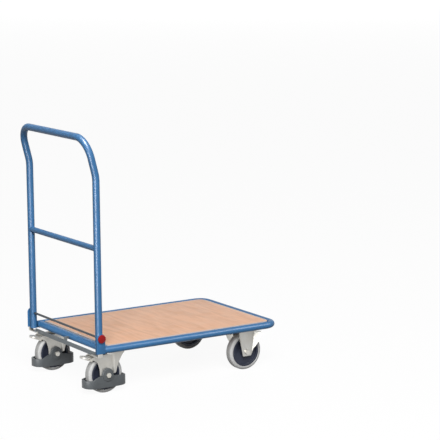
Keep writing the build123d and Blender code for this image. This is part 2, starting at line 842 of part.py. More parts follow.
def swivel_fork():
    """Pressed fork of a rear castor: crown cup, hood over the wheel and two sides."""
    fork = rod_z(crown_radius, crown_low_z, crown_top_z)
    lip = rod_z(crown_radius, crown_low_z, crown_top_z + crown_lip_height)
    fork += lip - rod_z(crown_radius - crown_lip, crown_low_z, crown_top_z + crown_lip_height)
    roof = face_of(
        (step_x, crown_top_z),
        (roof_mid_x, roof_mid_z),
        (roof_end_x, roof_end_z),
        (roof_end_x, roof_end_z - fork_sheet),
        (roof_mid_x, roof_mid_z - fork_sheet),
        (step_x, crown_top_z - fork_sheet),
    )
    fork += across(roof, -fork_outer, fork_outer)
    for plate in both_sides(swivel_side()):
        fork += plate
    return fork - rod_z(kingpin_diameter / 2 + running_gap, 0, castor_height)


def brake_pin():
    """Pin through the fork sides that the pedal turns on."""
    return Pos(brake_pin_x, 0, brake_pin_z) * rod_y(brake_pin_diameter / 2, -fork_outer, fork_outer)


def brake_pedal():
    """Pressed pedal with a barrel on the brake pin and a turned-up tip."""
    top = [
        (brake_pin_x, brake_pin_z + brake_boss_radius),
        (pedal_knee_x, pedal_knee_z),
        (pedal_bend_x, pedal_bend_z),
        (pedal_tip_x, pedal_tip_z),
    ]
    low = [
        (pedal_tip_x, pedal_tip_z - pedal_tip_depth),
        (pedal_skirt_x, pedal_skirt_z),
        (pedal_skirt_front_x, pedal_skirt_front_z),
        (brake_pin_x, brake_pin_z),
    ]
    half = pedal_width / 2
    plan = Pos((pedal_tip_x + brake_pin_x) / 2, 0) * Rectangle(brake_pin_x - pedal_tip_x, pedal_width)
    plan = fillet(plan.vertices().group_by(Axis.X)[0], pedal_tip_radius)
    plate = across(face_of(*top, *low), -half, half) & upright(plan, 0, castor_height)
    under = [(x, z - pedal_thickness) for x, z in top]
    space = face_of(*under, (pedal_tip_x, 0), (brake_pin_x, 0))
    plate -= across(space, -half, half) & upright(offset(plan, -pedal_thickness), 0, castor_height)
    pin = Pos(brake_pin_x, 0, brake_pin_z)
    plate += pin * rod_y(brake_boss_radius, -half, half)
    return plate - pin * rod_y(brake_pin_diameter / 2 + running_gap, -half, half)


def brake_shoe():
    """Block under the pedal whose curved face meets the tyre when the pedal is pressed."""
    slope = (pedal_knee_z - brake_pin_z - brake_boss_radius) / (pedal_knee_x - brake_pin_x)
    base = brake_pin_z + brake_boss_radius - pedal_thickness - flat_gap
    front_top = base + slope * (shoe_front_x - brake_pin_x)
    rear_top = base + slope * (shoe_rear_x - brake_pin_x)
    block = face_of(
        (shoe_front_x, front_top),
        (shoe_rear_x, rear_top),
        (shoe_rear_x, wheel_radius),
        (shoe_front_x, wheel_radius),
    )
    press = math.radians(brake_press_angle)
    away_x = -trail - brake_pin_x
    away_z = wheel_radius - brake_pin_z
    centre_x = brake_pin_x + away_x * math.cos(press) + away_z * math.sin(press)
    centre_z = brake_pin_z - away_x * math.sin(press) + away_z * math.cos(press)
    block -= Pos(centre_x, centre_z) * Circle(wheel_radius + brake_shoe_gap)
    return across(block, -shoe_width / 2, shoe_width / 2)


def foot_guard():
    """Plastic guard round the wheel, with a boss at each end of the axle."""
    outer = RectangleRounded(2 * guard_half_length, 2 * guard_outer, guard_corner_radius)
    inner_half = guard_outer - guard_side_wall
    inner_radius = guard_corner_radius - guard_side_wall
    ring = outer - RectangleRounded(2 * (guard_half_length - guard_end_wall), 2 * inner_half, inner_radius)
    end = guard_half_length + guard_outline_reach
    drop = (guard_front_top_z - guard_front_end_z) / (guard_half_length - guard_front_corner_x)
    front_z = guard_front_top_z - drop * (end - guard_front_corner_x)
    boss = guard_boss_radius
    inside = boss - guard_boss_overlap
    boss_z = wheel_radius + guard_boss_rise
    outline = make_face(
        Polyline((-end, guard_low_z), (-end, guard_rear_top_z), guard_rear_shoulder)
        + ThreePointArc(guard_rear_shoulder, guard_rear_slope, (-inside, boss_z))
        + Polyline((-inside, boss_z), (inside, guard_boss_join_z), guard_front_shoulder)
        + Line(guard_front_shoulder, (guard_front_corner_x, guard_front_top_z))
        + Polyline((guard_front_corner_x, guard_front_top_z), (end, front_z), (end, guard_low_z))
        + ThreePointArc((end, guard_low_z), (0, guard_middle_low_z), (-end, guard_low_z))
    )
    outline += Pos(0, boss_z) * Circle(boss)
    guard = upright(ring, 0, castor_height) & across(outline, -guard_outer, guard_outer)
    axle = Pos(0, 0, wheel_radius)
    for low_y, high_y in ((guard_outer, guard_face), (-guard_face, -guard_outer)):
        guard += axle * rod_y(guard_boss_face_radius, low_y, high_y)
    guard -= axle * rod_y(axle_diameter / 2 + seat_gap, -guard_face, guard_face)
    return Pos(-trail, 0, 0) * guard


def at_rear(shape, side):
    """Shape of a rear castor in its place, left when side is 1 and right when it is -1."""
    turned = mirror(shape, about=Plane.XZ) if side == 1 else shape
    return Pos(swivel_x, side * castor_half_track, 0) * turned


def at_front(shape, side):
    """Shape of a front castor in its place, left when side is 1 and right when it is -1."""
    turned = mirror(shape, about=Plane.XZ) if side == 1 else shape
    return Pos(front_axle_x, side * castor_half_track, 0) * turned


def save_frame():
    """Writes the fixed frame, the deck and the pivot."""
    bolt_hole = castor_bolt_diameter / 2 + seat_gap
    screw_hole = screw_diameter / 2 + seat_gap
    half_plate = castor_plate_length / 2 + castor_plate_margin
    rear_low_x = rear_tube_x + tube_radius + side_gap
    rear_plate = cross_plate(rear_low_x, swivel_x + half_plate)
    half_middle = middle_plate_width / 2
    middle_plate = cross_plate(frame_centre_x - half_middle, frame_centre_x + half_middle)
    front_plate = cross_plate(front_axle_x - half_plate, front_axle_x + half_plate)
    screws = deck_screw_places()
    rear_bolts = castor_bolt_places(swivel_x)
    front_bolts = castor_bolt_places(front_axle_x)
    rear_plate = drilled(drilled(rear_plate, rear_bolts, bolt_hole), screws, screw_hole)
    front_plate = drilled(drilled(front_plate, front_bolts, bolt_hole), screws, screw_hole)
    left_bracket, right_bracket = both_sides(bracket())
    save("perimeter_tube", perimeter_tube())
    save("rear_tube", rear_tube())
    save("bracket_left", left_bracket)
    save("bracket_right", right_bracket)
    save("rear_cross_plate", rear_plate)
    save("middle_cross_plate", drilled(middle_plate, screws, screw_hole))
    save("front_cross_plate", front_plate)
    save("deck_board", deck_board())
    save("deck_screws", *[Pos(x, y, 0) * deck_screw() for x, y in screws])
    save("castor_bolts", *[Pos(x, y, 0) * castor_bolt() for x, y in rear_bolts + front_bolts])
    save("foot_rail", foot_rail())
    save("rail_tabs", *both_sides(rail_tab(0)))
    save("rail_strap", rail_strap())
    save("pivot_rod", pivot_rod())
    save("rod_washers", *both_sides(rod_washer()))
    save("rod_cap_nut", cap_nut())


def save_handle():
    """Writes the folding handle and the clamp knob."""
    save("handle_tube", handle_tube())
    save("handle_crossbar", crossbar())
    save("pivot_sleeves", *both_sides(pivot_sleeve()))
    save("leg_caps", *both_sides(leg_cap()))
    save("clamp_knob", knob())


def save_front_castors():
    """Writes the fixed castors and their wheels."""
    axle = Pos(0, 0, wheel_radius)
    bolts = [at_front(axle * axle_bolt(fork_outer), side) for side in (1, -1)]
    nuts = [at_front(axle * axle_nut(fork_outer), side) for side in (1, -1)]
    save("front_axle_bolts", *bolts)
    save("front_axle_nuts", *nuts)
    save("front_axle_sleeves", *[at_front(axle * axle_sleeve(), side) for side in (1, -1)])
    for side, name in ((1, "left"), (-1, "right")):
        save(f"front_fork_{name}", at_front(fixed_fork(), side))
        save(f"front_tyre_{name}", at_front(axle * tyre(), side))
        save(f"front_rim_{name}", at_front(axle * rim(), side))
        save(f"front_bush_{name}", at_front(axle * bush(), side))


def save_rear_castors():
    """Writes the swivel castors with their brakes, guards and wheels."""
    axle = Pos(-trail, 0, wheel_radius)
    save("kingpins", *[at_rear(kingpin(), side) for side in (1, -1)])
    for side, name in ((1, "left"), (-1, "right")):
        save(f"swivel_plate_{name}", at_rear(swivel_plate(), side))
        save(f"swivel_balls_{name}", *[at_rear(ball, side) for ball in swivel_balls()])
        save(f"swivel_fork_{name}", at_rear(swivel_fork(), side))
        save(f"foot_guard_{name}", at_rear(foot_guard(), side))
        save(f"rear_axle_bolt_{name}", at_rear(axle * axle_bolt(guard_face), side))
        save(f"rear_axle_nut_{name}", at_rear(axle * axle_nut(guard_face), side))
        save(f"rear_axle_sleeve_{name}", at_rear(axle * axle_sleeve(), side))
        save(f"brake_pin_{name}", at_rear(brake_pin(), side))
        save(f"brake_pedal_{name}", at_rear(brake_pedal(), side))
        save(f"brake_shoe_{name}", at_rear(brake_shoe(), side))
        save(f"rear_tyre_{name}", at_rear(axle * tyre(), side))
        save(f"rear_rim_{name}", at_rear(axle * rim(), side))
        save(f"rear_bush_{name}", at_rear(axle * bush(), side))


os.makedirs("parts", exist_ok=True)
save_frame()
save_handle()
save_front_castors()
save_rear_castors()
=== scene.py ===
"""Look of the folding platform trolley: its meshes, finishes, studio and camera.

Metres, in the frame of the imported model: X forward along the deck, Y to the pusher's left and Z up
from the floor.
"""

import json
import logging
import math
from dataclasses import dataclass
from dataclasses import field
from enum import Enum

import bmesh
import bpy
from mathutils import Matrix
from mathutils import Vector

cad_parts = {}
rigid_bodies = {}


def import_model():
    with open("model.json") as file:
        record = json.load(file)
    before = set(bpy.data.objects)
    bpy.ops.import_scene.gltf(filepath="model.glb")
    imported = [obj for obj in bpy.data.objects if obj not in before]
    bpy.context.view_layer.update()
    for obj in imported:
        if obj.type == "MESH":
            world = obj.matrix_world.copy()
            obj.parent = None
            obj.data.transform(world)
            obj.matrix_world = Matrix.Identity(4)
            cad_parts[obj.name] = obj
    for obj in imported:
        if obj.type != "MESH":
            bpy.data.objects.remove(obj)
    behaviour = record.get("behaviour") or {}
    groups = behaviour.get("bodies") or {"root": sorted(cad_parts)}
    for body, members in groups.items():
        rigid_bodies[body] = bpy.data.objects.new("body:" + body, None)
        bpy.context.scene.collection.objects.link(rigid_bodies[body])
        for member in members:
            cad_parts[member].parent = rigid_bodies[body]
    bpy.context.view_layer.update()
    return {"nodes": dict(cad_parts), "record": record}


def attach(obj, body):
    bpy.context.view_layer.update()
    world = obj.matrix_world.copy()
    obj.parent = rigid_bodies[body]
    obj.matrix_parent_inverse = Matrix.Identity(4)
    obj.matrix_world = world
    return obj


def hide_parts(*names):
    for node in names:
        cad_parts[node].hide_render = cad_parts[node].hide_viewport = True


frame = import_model()
LOG = logging.getLogger("trolley")

# A node's output socket, or a plain value in its place.
Wire = object
Colour = tuple[float, float, float]
Span = tuple[float, float]

WHITE: Colour = (1.0, 1.0, 1.0)
AHEAD = Vector((1, 0, 0))
BACKWARD = Vector((-1, 0, 0))
RIGHTWARD = Vector((0, -1, 0))
UPWARD = Vector((0, 0, 1))
RIGHT_ANGLE = 90.0

# Corners closer than this are one corner.
SAME_PLACE = 2e-6
# Faces that lean less than this from each other, in degrees, are one flat face.
FLAT_WITHIN = 0.4
# Edges that turn more than this, in degrees, are rounded.
ROUND_ABOVE = 32.0
# Edges that turn more than this, in degrees, look sharp.
SHARP_ABOVE = 38.0
# Steps across a rounded edge, and across a wide one.
EDGE_STEPS = 2
WIDE_STEPS = 3


class Slot(Enum):
    """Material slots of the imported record."""

    FRAME_PAINT = "frame_paint"
    DECK_WOOD = "deck_wood"
    RAIL_PAINT = "rail_paint"
    ROD_BLACK = "rod_black"
    KNOB_RED = "knob_red"
    CAP_BLACK = "cap_black"
    ZINC_SHEET = "zinc_sheet"
    ZINC_HARDWARE = "zinc_hardware"
    TYRE_GREY = "tyre_grey"
    RIM_DARK = "rim_dark"
    BUSH_WHITE = "bush_white"
    GUARD_GREY = "guard_grey"


class Side(Enum):
    """The two sides of the trolley, with the sign of their Y."""

    LEFT = 1
    RIGHT = -1

    @property
    def word(self) -> str:
        """The side's name in lower case, as node and body names end."""
        return self.name.lower()

    @property
    def outward(self) -> Vector:
        """Direction away from the middle of the trolley."""
        return Vector((0, self.value, 0))


def opaque(colour: Wire) -> Wire:
    """A plain colour with its alpha, and anything else as it is."""
    return (*colour, 1.0) if isinstance(colour, tuple) else colour


def shade(colour: Colour, factor: float) -> Colour:
    """A colour made lighter or darker by a factor."""
    return tuple(min(1.0, part * factor) for part in colour)


def extent(node: str, axis: int) -> Span:
    """Lowest and highest place of a CAD node along one axis.

    Args:
        node: The CAD node.
        axis: 0 for X, 1 for Y and 2 for Z.

    Returns:
        The two places.
    """
    places = [corner.co[axis] for corner in frame["nodes"][node].data.vertices]
    return min(places), max(places)


class Wiring:
    """Adds and joins the nodes of one shader tree."""

    def __init__(self, tree: bpy.types.NodeTree) -> None:
        """Starts on a tree.

        Args:
            tree: The node tree to work in.
        """
        self.tree = tree

    def feed(self, node: bpy.types.Node, key: str | int, value: Wire) -> None:
        """Gives one input of a node a value or an output socket.

        Args:
            node: The node.
            key: The input's name or number.
            value: What the input gets.
        """
        if isinstance(value, bpy.types.NodeSocket):
            self.tree.links.new(value, node.inputs[key])
        else:
            node.inputs[key].default_value = value

    def node(self, kind: str, inputs: dict[str | int, Wire], **settings: object) -> bpy.types.Node:
        """Adds one node.

        Args:
            kind: Blender's name of the node type.
            inputs: Values or output sockets for the node's inputs, by name or number.
            settings: The node's own settings.

        Returns:
            The new node.
        """
        made = self.tree.nodes.new(kind)
        for key, value in settings.items():
            setattr(made, key, value)
        for key, value in inputs.items():
            self.feed(made, key, value)
        return made

    def maths(self, operation: str, first: Wire, second: Wire = 0.0) -> Wire:
        """Output of a Math node.

        Args:
            operation: The node's operation.
            first: First value or socket.
            second: Second value or socket.

        Returns:
            The node's output socket.
        """
        return self.node("ShaderNodeMath", {0: first, 1: second}, operation=operation).outputs[0]

    def spread(self, value: Wire, span: Span, low: Wire = 0.0, high: Wire = 1.0) -> Wire:
        """Output of a clamped Map Range node.

        Args:
            value: The socket to map.
            span: The values of it that give low and high.
            low: Result at the start of the span.
            high: Result at the end of the span.

        Returns:
            The node's output socket.
        """
        inputs = {"Value": value, "From Min": span[0], "From Max": span[1], "To Min": low, "To Max": high}
        return self.node("ShaderNodeMapRange", inputs, interpolation_type="SMOOTHSTEP").outputs[0]

    def blend(self, mask: Wire, under: Wire, over: Wire) -> Wire:
        """Colour that goes from one to another by a mask.

        Args:
            mask: Socket from 0 to 1.
            under: Colour or socket where the mask is 0.
            over: Colour or socket where the mask is 1.

        Returns:
            The mixed colour's socket.
        """
        mixed = self.node("ShaderNodeMix", {0: mask, 6: opaque(under), 7: opaque(over)}, data_type="RGBA")
        return mixed.outputs[2]

    def noise(self, place: Wire, scale: Wire, **others: float) -> Wire:
        """Output of a Noise Texture node.

        Args:
            place: Coordinates to read it at.
            scale: Its fineness.
            others: The node's other inputs, by Blender's names.

        Returns:
            The node's value socket.
        """
        return self.node("ShaderNodeTexNoise", {"Vector": place, "Scale": scale, **others}).outputs["Fac"]

    def stretched(self, place: Wire, factors: tuple[float, float, float]) -> Wire:
        """Coordinates with a factor on each axis."""
        return self.node("ShaderNodeMapping", {"Vector": place, "Scale": factors}).outputs[0]

    def parts(self, vector: Wire) -> bpy.types.NodeOutputs:
        """The X, Y and Z sockets of a vector."""
        return self.node("ShaderNodeSeparateXYZ", {0: vector}).outputs

    def normal(self) -> Wire:
        """The surface's own direction."""
        return self.node("ShaderNodeNewGeometry", {}).outputs["Normal"]

    def group(self, tree: bpy.types.NodeTree, inputs: dict[str, Wire]) -> Wire:
        """Places a shared group.

        Args:
            tree: The group's tree.
            inputs: Values or sockets for its inputs.

        Returns:
            The group's first output socket.
        """
        return self.node("ShaderNodeGroup", inputs, node_tree=tree).outputs[0]


class SharedEffects:
    """Shader node groups that several finishes place with their own values."""

    # The part of a noise over which each mask goes from none to all.
    CLOUD_SPAN = (0.3, 0.7)
    PATCH_SPAN = (0.3, 0.62)
    DUST_SPAN = (0.35, 0.7)
    LINE_SPAN = (0.25, 0.75)
    # How far a rounded normal leaves the plain one at an edge, from none to all.
    EDGE_SPAN = (0.015, 0.16)
    # How far up a face looks, from where dust begins to lie to where all of it does.
    UP_SPAN = (0.45, 1.0)
    # Wear that is left between the patches.
    LEAST_WEAR = 0.25
    EDGE_SAMPLES = 4
    # Scale of the coarse grain, as a share of the fine one's.
    COARSE_SHARE = 0.3
    # Rolling lines are drawn out along Z.
    LINE_STRETCH = (1.0, 1.0, 0.06)

    def __init__(self) -> None:
        """Builds every group once."""
        self.mottle = self.build_mottle()
        self.grain = self.build_grain()
        self.edges = self.build_edges()
        self.dust = self.build_dust()
        self.lines = self.build_lines()

    @staticmethod
    def begin(name: str, values: dict[str, float]) -> tuple[Wiring, dict[str, Wire]]:
        """Makes an empty group that reads a place and some values.

        Args:
            name: The group's name.
            values: Its float inputs with their usual values.

        Returns:
            The group's wiring and the sockets of its inputs by name.
        """
        tree = bpy.data.node_groups.new(name, "ShaderNodeTree")
        tree.interface.new_socket(name="Place", in_out="INPUT", socket_type="NodeSocketVector")
        for key, value in values.items():
            made = tree.interface.new_socket(name=key, in_out="INPUT", socket_type="NodeSocketFloat")
            made.default_value = value
        wiring = Wiring(tree)
        outputs = wiring.node("NodeGroupInput", {}).outputs
        return wiring, {socket.name: socket for socket in outputs if socket.name}

    @staticmethod
    def end(wiring: Wiring, name: str, result: Wire) -> bpy.types.NodeTree:
        """Gives a group its one output.

        Args:
            wiring: The group's wiring.
            name: The output's name.
            result: The socket to put out.

        Returns:
            The finished tree.
        """
        wiring.tree.interface.new_socket(name=name, in_out="OUTPUT", socket_type="NodeSocketFloat")
        wiring.node("NodeGroupOutput", {name: result})
        return wiring.tree

    def build_mottle(self) -> bpy.types.NodeTree:
        """Slow, cloudy change between two values.

        Returns:
            The group's tree.
        """
        wiring, ask = self.begin("mottle", {"Scale": 8.0, "Low": 0.0, "High": 1.0})
        cloud = wiring.noise(ask["Place"], ask["Scale"], Detail=4.0, Roughness=0.6)
        return self.end(wiring, "Value", wiring.spread(cloud, self.CLOUD_SPAN, ask["Low"], ask["High"]))

    def build_grain(self) -> bpy.types.NodeTree:
        """Fine even texture of a coated or moulded skin.

        Returns:
            The group's tree.
        """
        wiring, ask = self.begin("skin_grain", {"Scale": 700.0, "Softness": 0.5})
        fine = wiring.noise(ask["Place"], ask["Scale"], Detail=2.0, Roughness=0.45)
        coarse = wiring.noise(ask["Place"], wiring.maths("MULTIPLY", ask["Scale"], self.COARSE_SHARE))
        soft = wiring.maths("MULTIPLY", coarse, ask["Softness"])
        return self.end(wiring, "Height", wiring.maths("ADD", fine, soft))

    def build_edges(self) -> bpy.types.NodeTree:
        """Mask of the sharp edges, where a coat is thin, broken up by a noise.

        Returns:
            The group's tree.
        """
        wiring, ask = self.begin("edge_wear", {"Reach": 0.0012, "Break Scale": 90.0})
        bevel = wiring.node("ShaderNodeBevel", {"Radius": ask["Reach"]}, samples=self.EDGE_SAMPLES)
        both = {0: bevel.outputs[0], 1: wiring.normal()}
        agree = wiring.node("ShaderNodeVectorMath", both, operation="DOT_PRODUCT").outputs["Value"]
        edge = wiring.spread(wiring.maths("SUBTRACT", 1.0, agree), self.EDGE_SPAN)
        noise = wiring.noise(ask["Place"], ask["Break Scale"], Detail=3.0)
        patches = wiring.spread(noise, self.PATCH_SPAN, self.LEAST_WEAR)
        return self.end(wiring, "Mask", wiring.maths("MULTIPLY", edge, patches))

    def build_dust(self) -> bpy.types.NodeTree:
        """Mask of faint dust on faces that look up.

        Returns:
            The group's tree.
        """
        wiring, ask = self.begin("dust", {"Amount": 0.1, "Scale": 25.0})
        facing = wiring.spread(wiring.parts(wiring.normal())["Z"], self.UP_SPAN)
        cloud = wiring.noise(ask["Place"], ask["Scale"], Detail=5.0)
        spots = wiring.maths("MULTIPLY", facing, wiring.spread(cloud, self.DUST_SPAN))
        return self.end(wiring, "Mask", wiring.maths("MULTIPLY", spots, ask["Amount"]))

    def build_lines(self) -> bpy.types.NodeTree:
        """Fine lines that metal keeps from rolling.

        Returns:
            The group's tree.
        """
        wiring, ask = self.begin("rolled_lines", {"Scale": 260.0, "Low": 0.0, "High": 1.0})
        drawn = wiring.stretched(ask["Place"], self.LINE_STRETCH)
        lines = wiring.noise(drawn, ask["Scale"], Detail=3.0, Roughness=0.6)
        return self.end(wiring, "Value", wiring.spread(lines, self.LINE_SPAN, ask["Low"], ask["High"]))


@dataclass(frozen=True)
class Wear:
    """How the edges of a finish wear.

    Attributes:
        reach: Width of the worn edge.
        break_scale: Fineness of the patches along it.
        amount: Strength of the wear.
    """

    reach: float
    break_scale: float
    amount: float


@dataclass(frozen=True)
class Dust:
    """Faint dust on the faces of a finish that look up.

    Attributes:
        amount: Strength of the dust.
        scale: Fineness of its clouds.
        colour: Its linear colour.
    """

    amount: float
    scale: float
    colour: Colour


class Surface(Wiring):
    """Shader tree of one material, with the shared effects at hand."""

    def __init__(self, material: bpy.types.Material, shared: SharedEffects) -> None:
        """Starts a material with one plain shader.

        Args:
            material: The material to work in.
            shared: The shared node groups.
        """
        material.use_nodes = True
        material.node_tree.nodes.clear()
        super().__init__(material.node_tree)
        self.shared = shared
        self.place = self.node("ShaderNodeTexCoord", {}).outputs["Object"]
        self.shader = self.node("ShaderNodeBsdfPrincipled", {})
        self.node("ShaderNodeOutputMaterial", {"Surface": self.shader.outputs[0]})

    def give(self, name: str, value: Wire) -> None:
        """Gives one input of the shader a value or a socket."""
        self.feed(self.shader, name, value)

    def clouds(self, scale: float, low: float = 0.0, high: float = 1.0) -> Wire:
        """Slow, cloudy change between two values."""
        inputs = {"Place": self.place, "Scale": scale, "Low": low, "High": high}
        return self.group(self.shared.mottle, inputs)

    def lines(self, scale: float, low: float, high: float) -> Wire:
        """Rolling lines between two values."""
        inputs = {"Place": self.place, "Scale": scale, "Low": low, "High": high}
        return self.group(self.shared.lines, inputs)

    def tinted(self, mask: Wire, colour: Colour, factors: Span) -> Wire:
        """A colour that a mask takes from one factor of it to another."""
        return self.blend(mask, shade(colour, factors[0]), shade(colour, factors[1]))

    def worn(self, wear: Wear, face: Wire, bare: Colour) -> Wire:
        """A face with another colour on its worn edges.

        Args:
            wear: How the edges wear.
            face: The face's colour.
            bare: The worn edges' colour.

        Returns:
            The mixed colour's socket.
        """
        inputs = {"Place": self.place, "Reach": wear.reach, "Break Scale": wear.break_scale}
        edge = self.group(self.shared.edges, inputs)
        return self.blend(self.maths("MULTIPLY", edge, wear.amount), face, bare)

    def dusted(self, dust: Dust, face: Wire) -> Wire:
        """A face with dust on it.

        Args:
            dust: The dust.
            face: The face's colour.

        Returns:
            The mixed colour's socket.
        """
        inputs = {"Place": self.place, "Amount": dust.amount, "Scale": dust.scale}
        return self.blend(self.group(self.shared.dust, inputs), face, dust.colour)

    def relief(self, height: Wire, depth: float, strength: float) -> None:
        """Feeds a height to the shader as a bump.

        Args:
            height: Socket of the height.
            depth: The relief's depth.
            strength: Share of it that shows.
        """
        bump = self.node("ShaderNodeBump", {"Strength": strength, "Distance": depth, "Height": height})
        self.give("Normal", bump.outputs[0])

    def grain(self, scale: float, softness: float, depth: float, strength: float) -> None:
        """Feeds a fine even texture to the shader as a bump.

        Args:
            scale: Fineness of the texture.
            softness: Weight of its coarser waves.
            depth: Its depth.
            strength: Share of it that shows.
        """
        inputs = {"Place": self.place, "Scale": scale, "Softness": softness}
        self.relief(self.group(self.shared.grain, inputs), depth, strength)


@dataclass(frozen=True, kw_only=True)
class Finish:
    """A surface finish that makes one material.

    Attributes:
        colour: Linear base colour.
        roughness: Least and greatest roughness.
        rough_scale: Fineness of the change between the two.
        specular: Specular level of the surface.
        bump: Depth of the fine relief.
        strength: Share of the relief that shows.
    """

    colour: Colour
    roughness: Span
    rough_scale: float
    specular: float
    bump: float
    strength: float

    def material(self, name: str, shared: SharedEffects) -> bpy.types.Material:
        """Makes the finish's material.

        Args:
            name: The material's name.
            shared: The shared node groups.

        Returns:
            The material.
        """
        made = bpy.data.materials.new(name)
        surface = Surface(made, shared)
        surface.give("Specular IOR Level", self.specular)
        self.wire(surface)
        return made

    def wire(self, surface: Surface) -> None:
        """Joins the finish's nodes to the surface's shader."""
        raise NotImplementedError


@dataclass(frozen=True, kw_only=True)
class Paint(Finish):
    """Sprayed and baked paint on steel, thin on edges.

    Attributes:
        grain_scale: Fineness of the orange peel.
        softness: Weight of its coarser waves.
        cloud_scale: Fineness of the colour's clouds.
        tint: Factors of the colour in the clouds.
        wear: How the edges thin.
        bare: Colour where the coat is thin.
        dust: Dust on top.
        coat: Weight of the clear gloss.
        coat_roughness: Roughness of the clear gloss.
        coat_index: Refractive index of the clear gloss.
    """

    rough_scale: float = 16.0
    strength: float = 0.35
    grain_scale: float
    softness: float = 1.2
    cloud_scale: float = 7.0
    tint: Span = (0.94, 1.06)
    wear: Wear = Wear(reach=0.0012, break_scale=70.0, amount=0.35)
    bare: Colour = (0.5, 0.55, 0.6)
    dust: Dust = Dust(amount=0.05, scale=30.0, colour=(0.55, 0.54, 0.52))
    coat: float = 0.0
    coat_roughness: float = 0.4
    coat_index: float = 1.7

    def wire(self, surface: Surface) -> None:
        """Joins paint colour, thin edges, dust, gloss and orange peel.

        Args:
            surface: The material's surface.
        """
        surface.give("Coat Weight", self.coat)
        surface.give("Coat Roughness", self.coat_roughness)
        surface.give("Coat IOR", self.coat_index)
        face = surface.tinted(surface.clouds(self.cloud_scale), self.colour, self.tint)
        face = surface.worn(self.wear, face, self.bare)
        surface.give("Base Color", surface.dusted(self.dust, face))
        surface.give("Roughness", surface.clouds(self.rough_scale, *self.roughness))
        surface.grain(self.grain_scale, self.softness, self.bump, self.strength)


@dataclass(frozen=True, kw_only=True)
class Wood(Finish):
    """Wood-faced deck with its grain across the trolley and a pale border.

    Attributes:
        dark: Colour of the dark streaks.
        streak_scale: Fineness of the streaks.
        streak_stretch: How the streaks are drawn out along the grain.
        streak_span: The part of their noise that goes from dark to pale.
        pore_scale: Fineness of the pores.
        pore_stretch: How the pores are drawn out along the grain.
        pore_span: The part of their noise that goes from none to all.
        pore_amount: Strength of the pores.
        pore_shade: Factor of the dark colour in them.
        pore_height: Their share in the relief.
        cloud_scale: Fineness of the paler clouds.
        cloud_amount: Strength of the clouds.
        cloud_shade: Factor of the colour in them.
        border: Colour of the pale border.
        border_width: Width of the border.
        border_full: Share of that width over which it is at its palest.
        board: The CAD node whose edges the border follows.
        dust: Dust on top.
    """

    rough_scale: float = 22.0
    strength: float = 0.4
    dark: Colour
    streak_scale: float = 48.0
    streak_stretch: tuple[float, float, float] = (1.0, 0.11, 1.0)
    streak_span: Span = (0.34, 0.66)
    pore_scale: float = 620.0
    pore_stretch: tuple[float, float, float] = (1.0, 0.05, 1.0)
    pore_span: Span = (0.56, 0.72)
    pore_amount: float = 0.22
    pore_shade: float = 0.72
    pore_height: float = 0.6
    cloud_scale: float = 4.0
    cloud_amount: float = 0.25
    cloud_shade: float = 1.06
    border: Colour = (0.57, 0.5, 0.47)
    border_width: float = 0.009
    border_full: float = 0.4
    board: str = "deck_board"
    dust: Dust = Dust(amount=0.05, scale=18.0, colour=(0.72, 0.68, 0.62))

    def border_mask(self, surface: Surface) -> Wire:
        """Mask of the pale border.

        Args:
            surface: The material's surface.

        Returns:
            The mask's socket.
        """
        parts = surface.parts(surface.place)
        masks = []
        for axis in range(2):
            low, high = extent(self.board, axis)
            half = 0.5 * (high - low)
            span = (half - self.border_width, half - self.border_full * self.border_width)
            away = surface.maths("SUBTRACT", parts[axis], 0.5 * (low + high))
            masks.append(surface.spread(surface.maths("ABSOLUTE", away), span))
        return surface.maths("MAXIMUM", *masks)

    def wire(self, surface: Surface) -> None:
        """Joins streaks, pores, border, dust and relief.

        Args:
            surface: The material's surface.
        """
        drawn = surface.stretched(surface.place, self.streak_stretch)
        streaks = surface.noise(drawn, self.streak_scale, Detail=5.0, Roughness=0.62, Distortion=0.7)
        drawn = surface.stretched(surface.place, self.pore_stretch)
        pores = surface.noise(drawn, self.pore_scale, Detail=2.0)
        face = surface.blend(surface.spread(streaks, self.streak_span), self.dark, self.colour)
        marks = surface.spread(pores, self.pore_span, high=self.pore_amount)
        face = surface.blend(marks, face, shade(self.dark, self.pore_shade))
        clouds = surface.clouds(self.cloud_scale, high=self.cloud_amount)
        face = surface.blend(clouds, face, shade(self.colour, self.cloud_shade))
        face = surface.blend(self.border_mask(surface), face, self.border)
        surface.give("Base Color", surface.dusted(self.dust, face))
        surface.give("Roughness", surface.clouds(self.rough_scale, *self.roughness))
        height = surface.maths("ADD", streaks, surface.maths("MULTIPLY", pores, self.pore_height))
        surface.relief(height, self.bump, self.strength)


@dataclass(frozen=True, kw_only=True)
class Zinc(Finish):
    """Bright zinc plating, lightly clouded, with rolling lines in its roughness.

    Attributes:
        grain_scale: Fineness of the skin.
        softness: Weight of its coarser waves.
        warm: Colour of the warmer clouds.
        cloud_scale: Fineness of the clouds.
        metallic: Least and greatest metallic value.
        metal_scale: Fineness of the change between the two.
        wear: How the edges are rubbed.
        rubbed: Factor of the colour on the rubbed edges.
    """

    rough_scale: float = 260.0
    strength: float = 0.4
    grain_scale: float
    softness: float = 0.6
    warm: Colour
    cloud_scale: float = 26.0
    metallic: Span = (0.75, 0.9)
    metal_scale: float = 40.0
    wear: Wear = Wear(reach=0.0008, break_scale=160.0, amount=0.5)
    rubbed: float = 1.35

    def wire(self, surface: Surface) -> None:
        """Joins clouded plating, bright edges, rolling lines and skin.

        Args:
            surface: The material's surface.
        """
        plate = surface.blend(surface.clouds(self.cloud_scale), self.warm, self.colour)
        surface.give("Base Color", surface.worn(self.wear, plate, shade(self.colour, self.rubbed)))
        surface.give("Metallic", surface.clouds(self.metal_scale, *self.metallic))
        surface.give("Roughness", surface.lines(self.rough_scale, *self.roughness))
        surface.grain(self.grain_scale, self.softness, self.bump, self.strength)


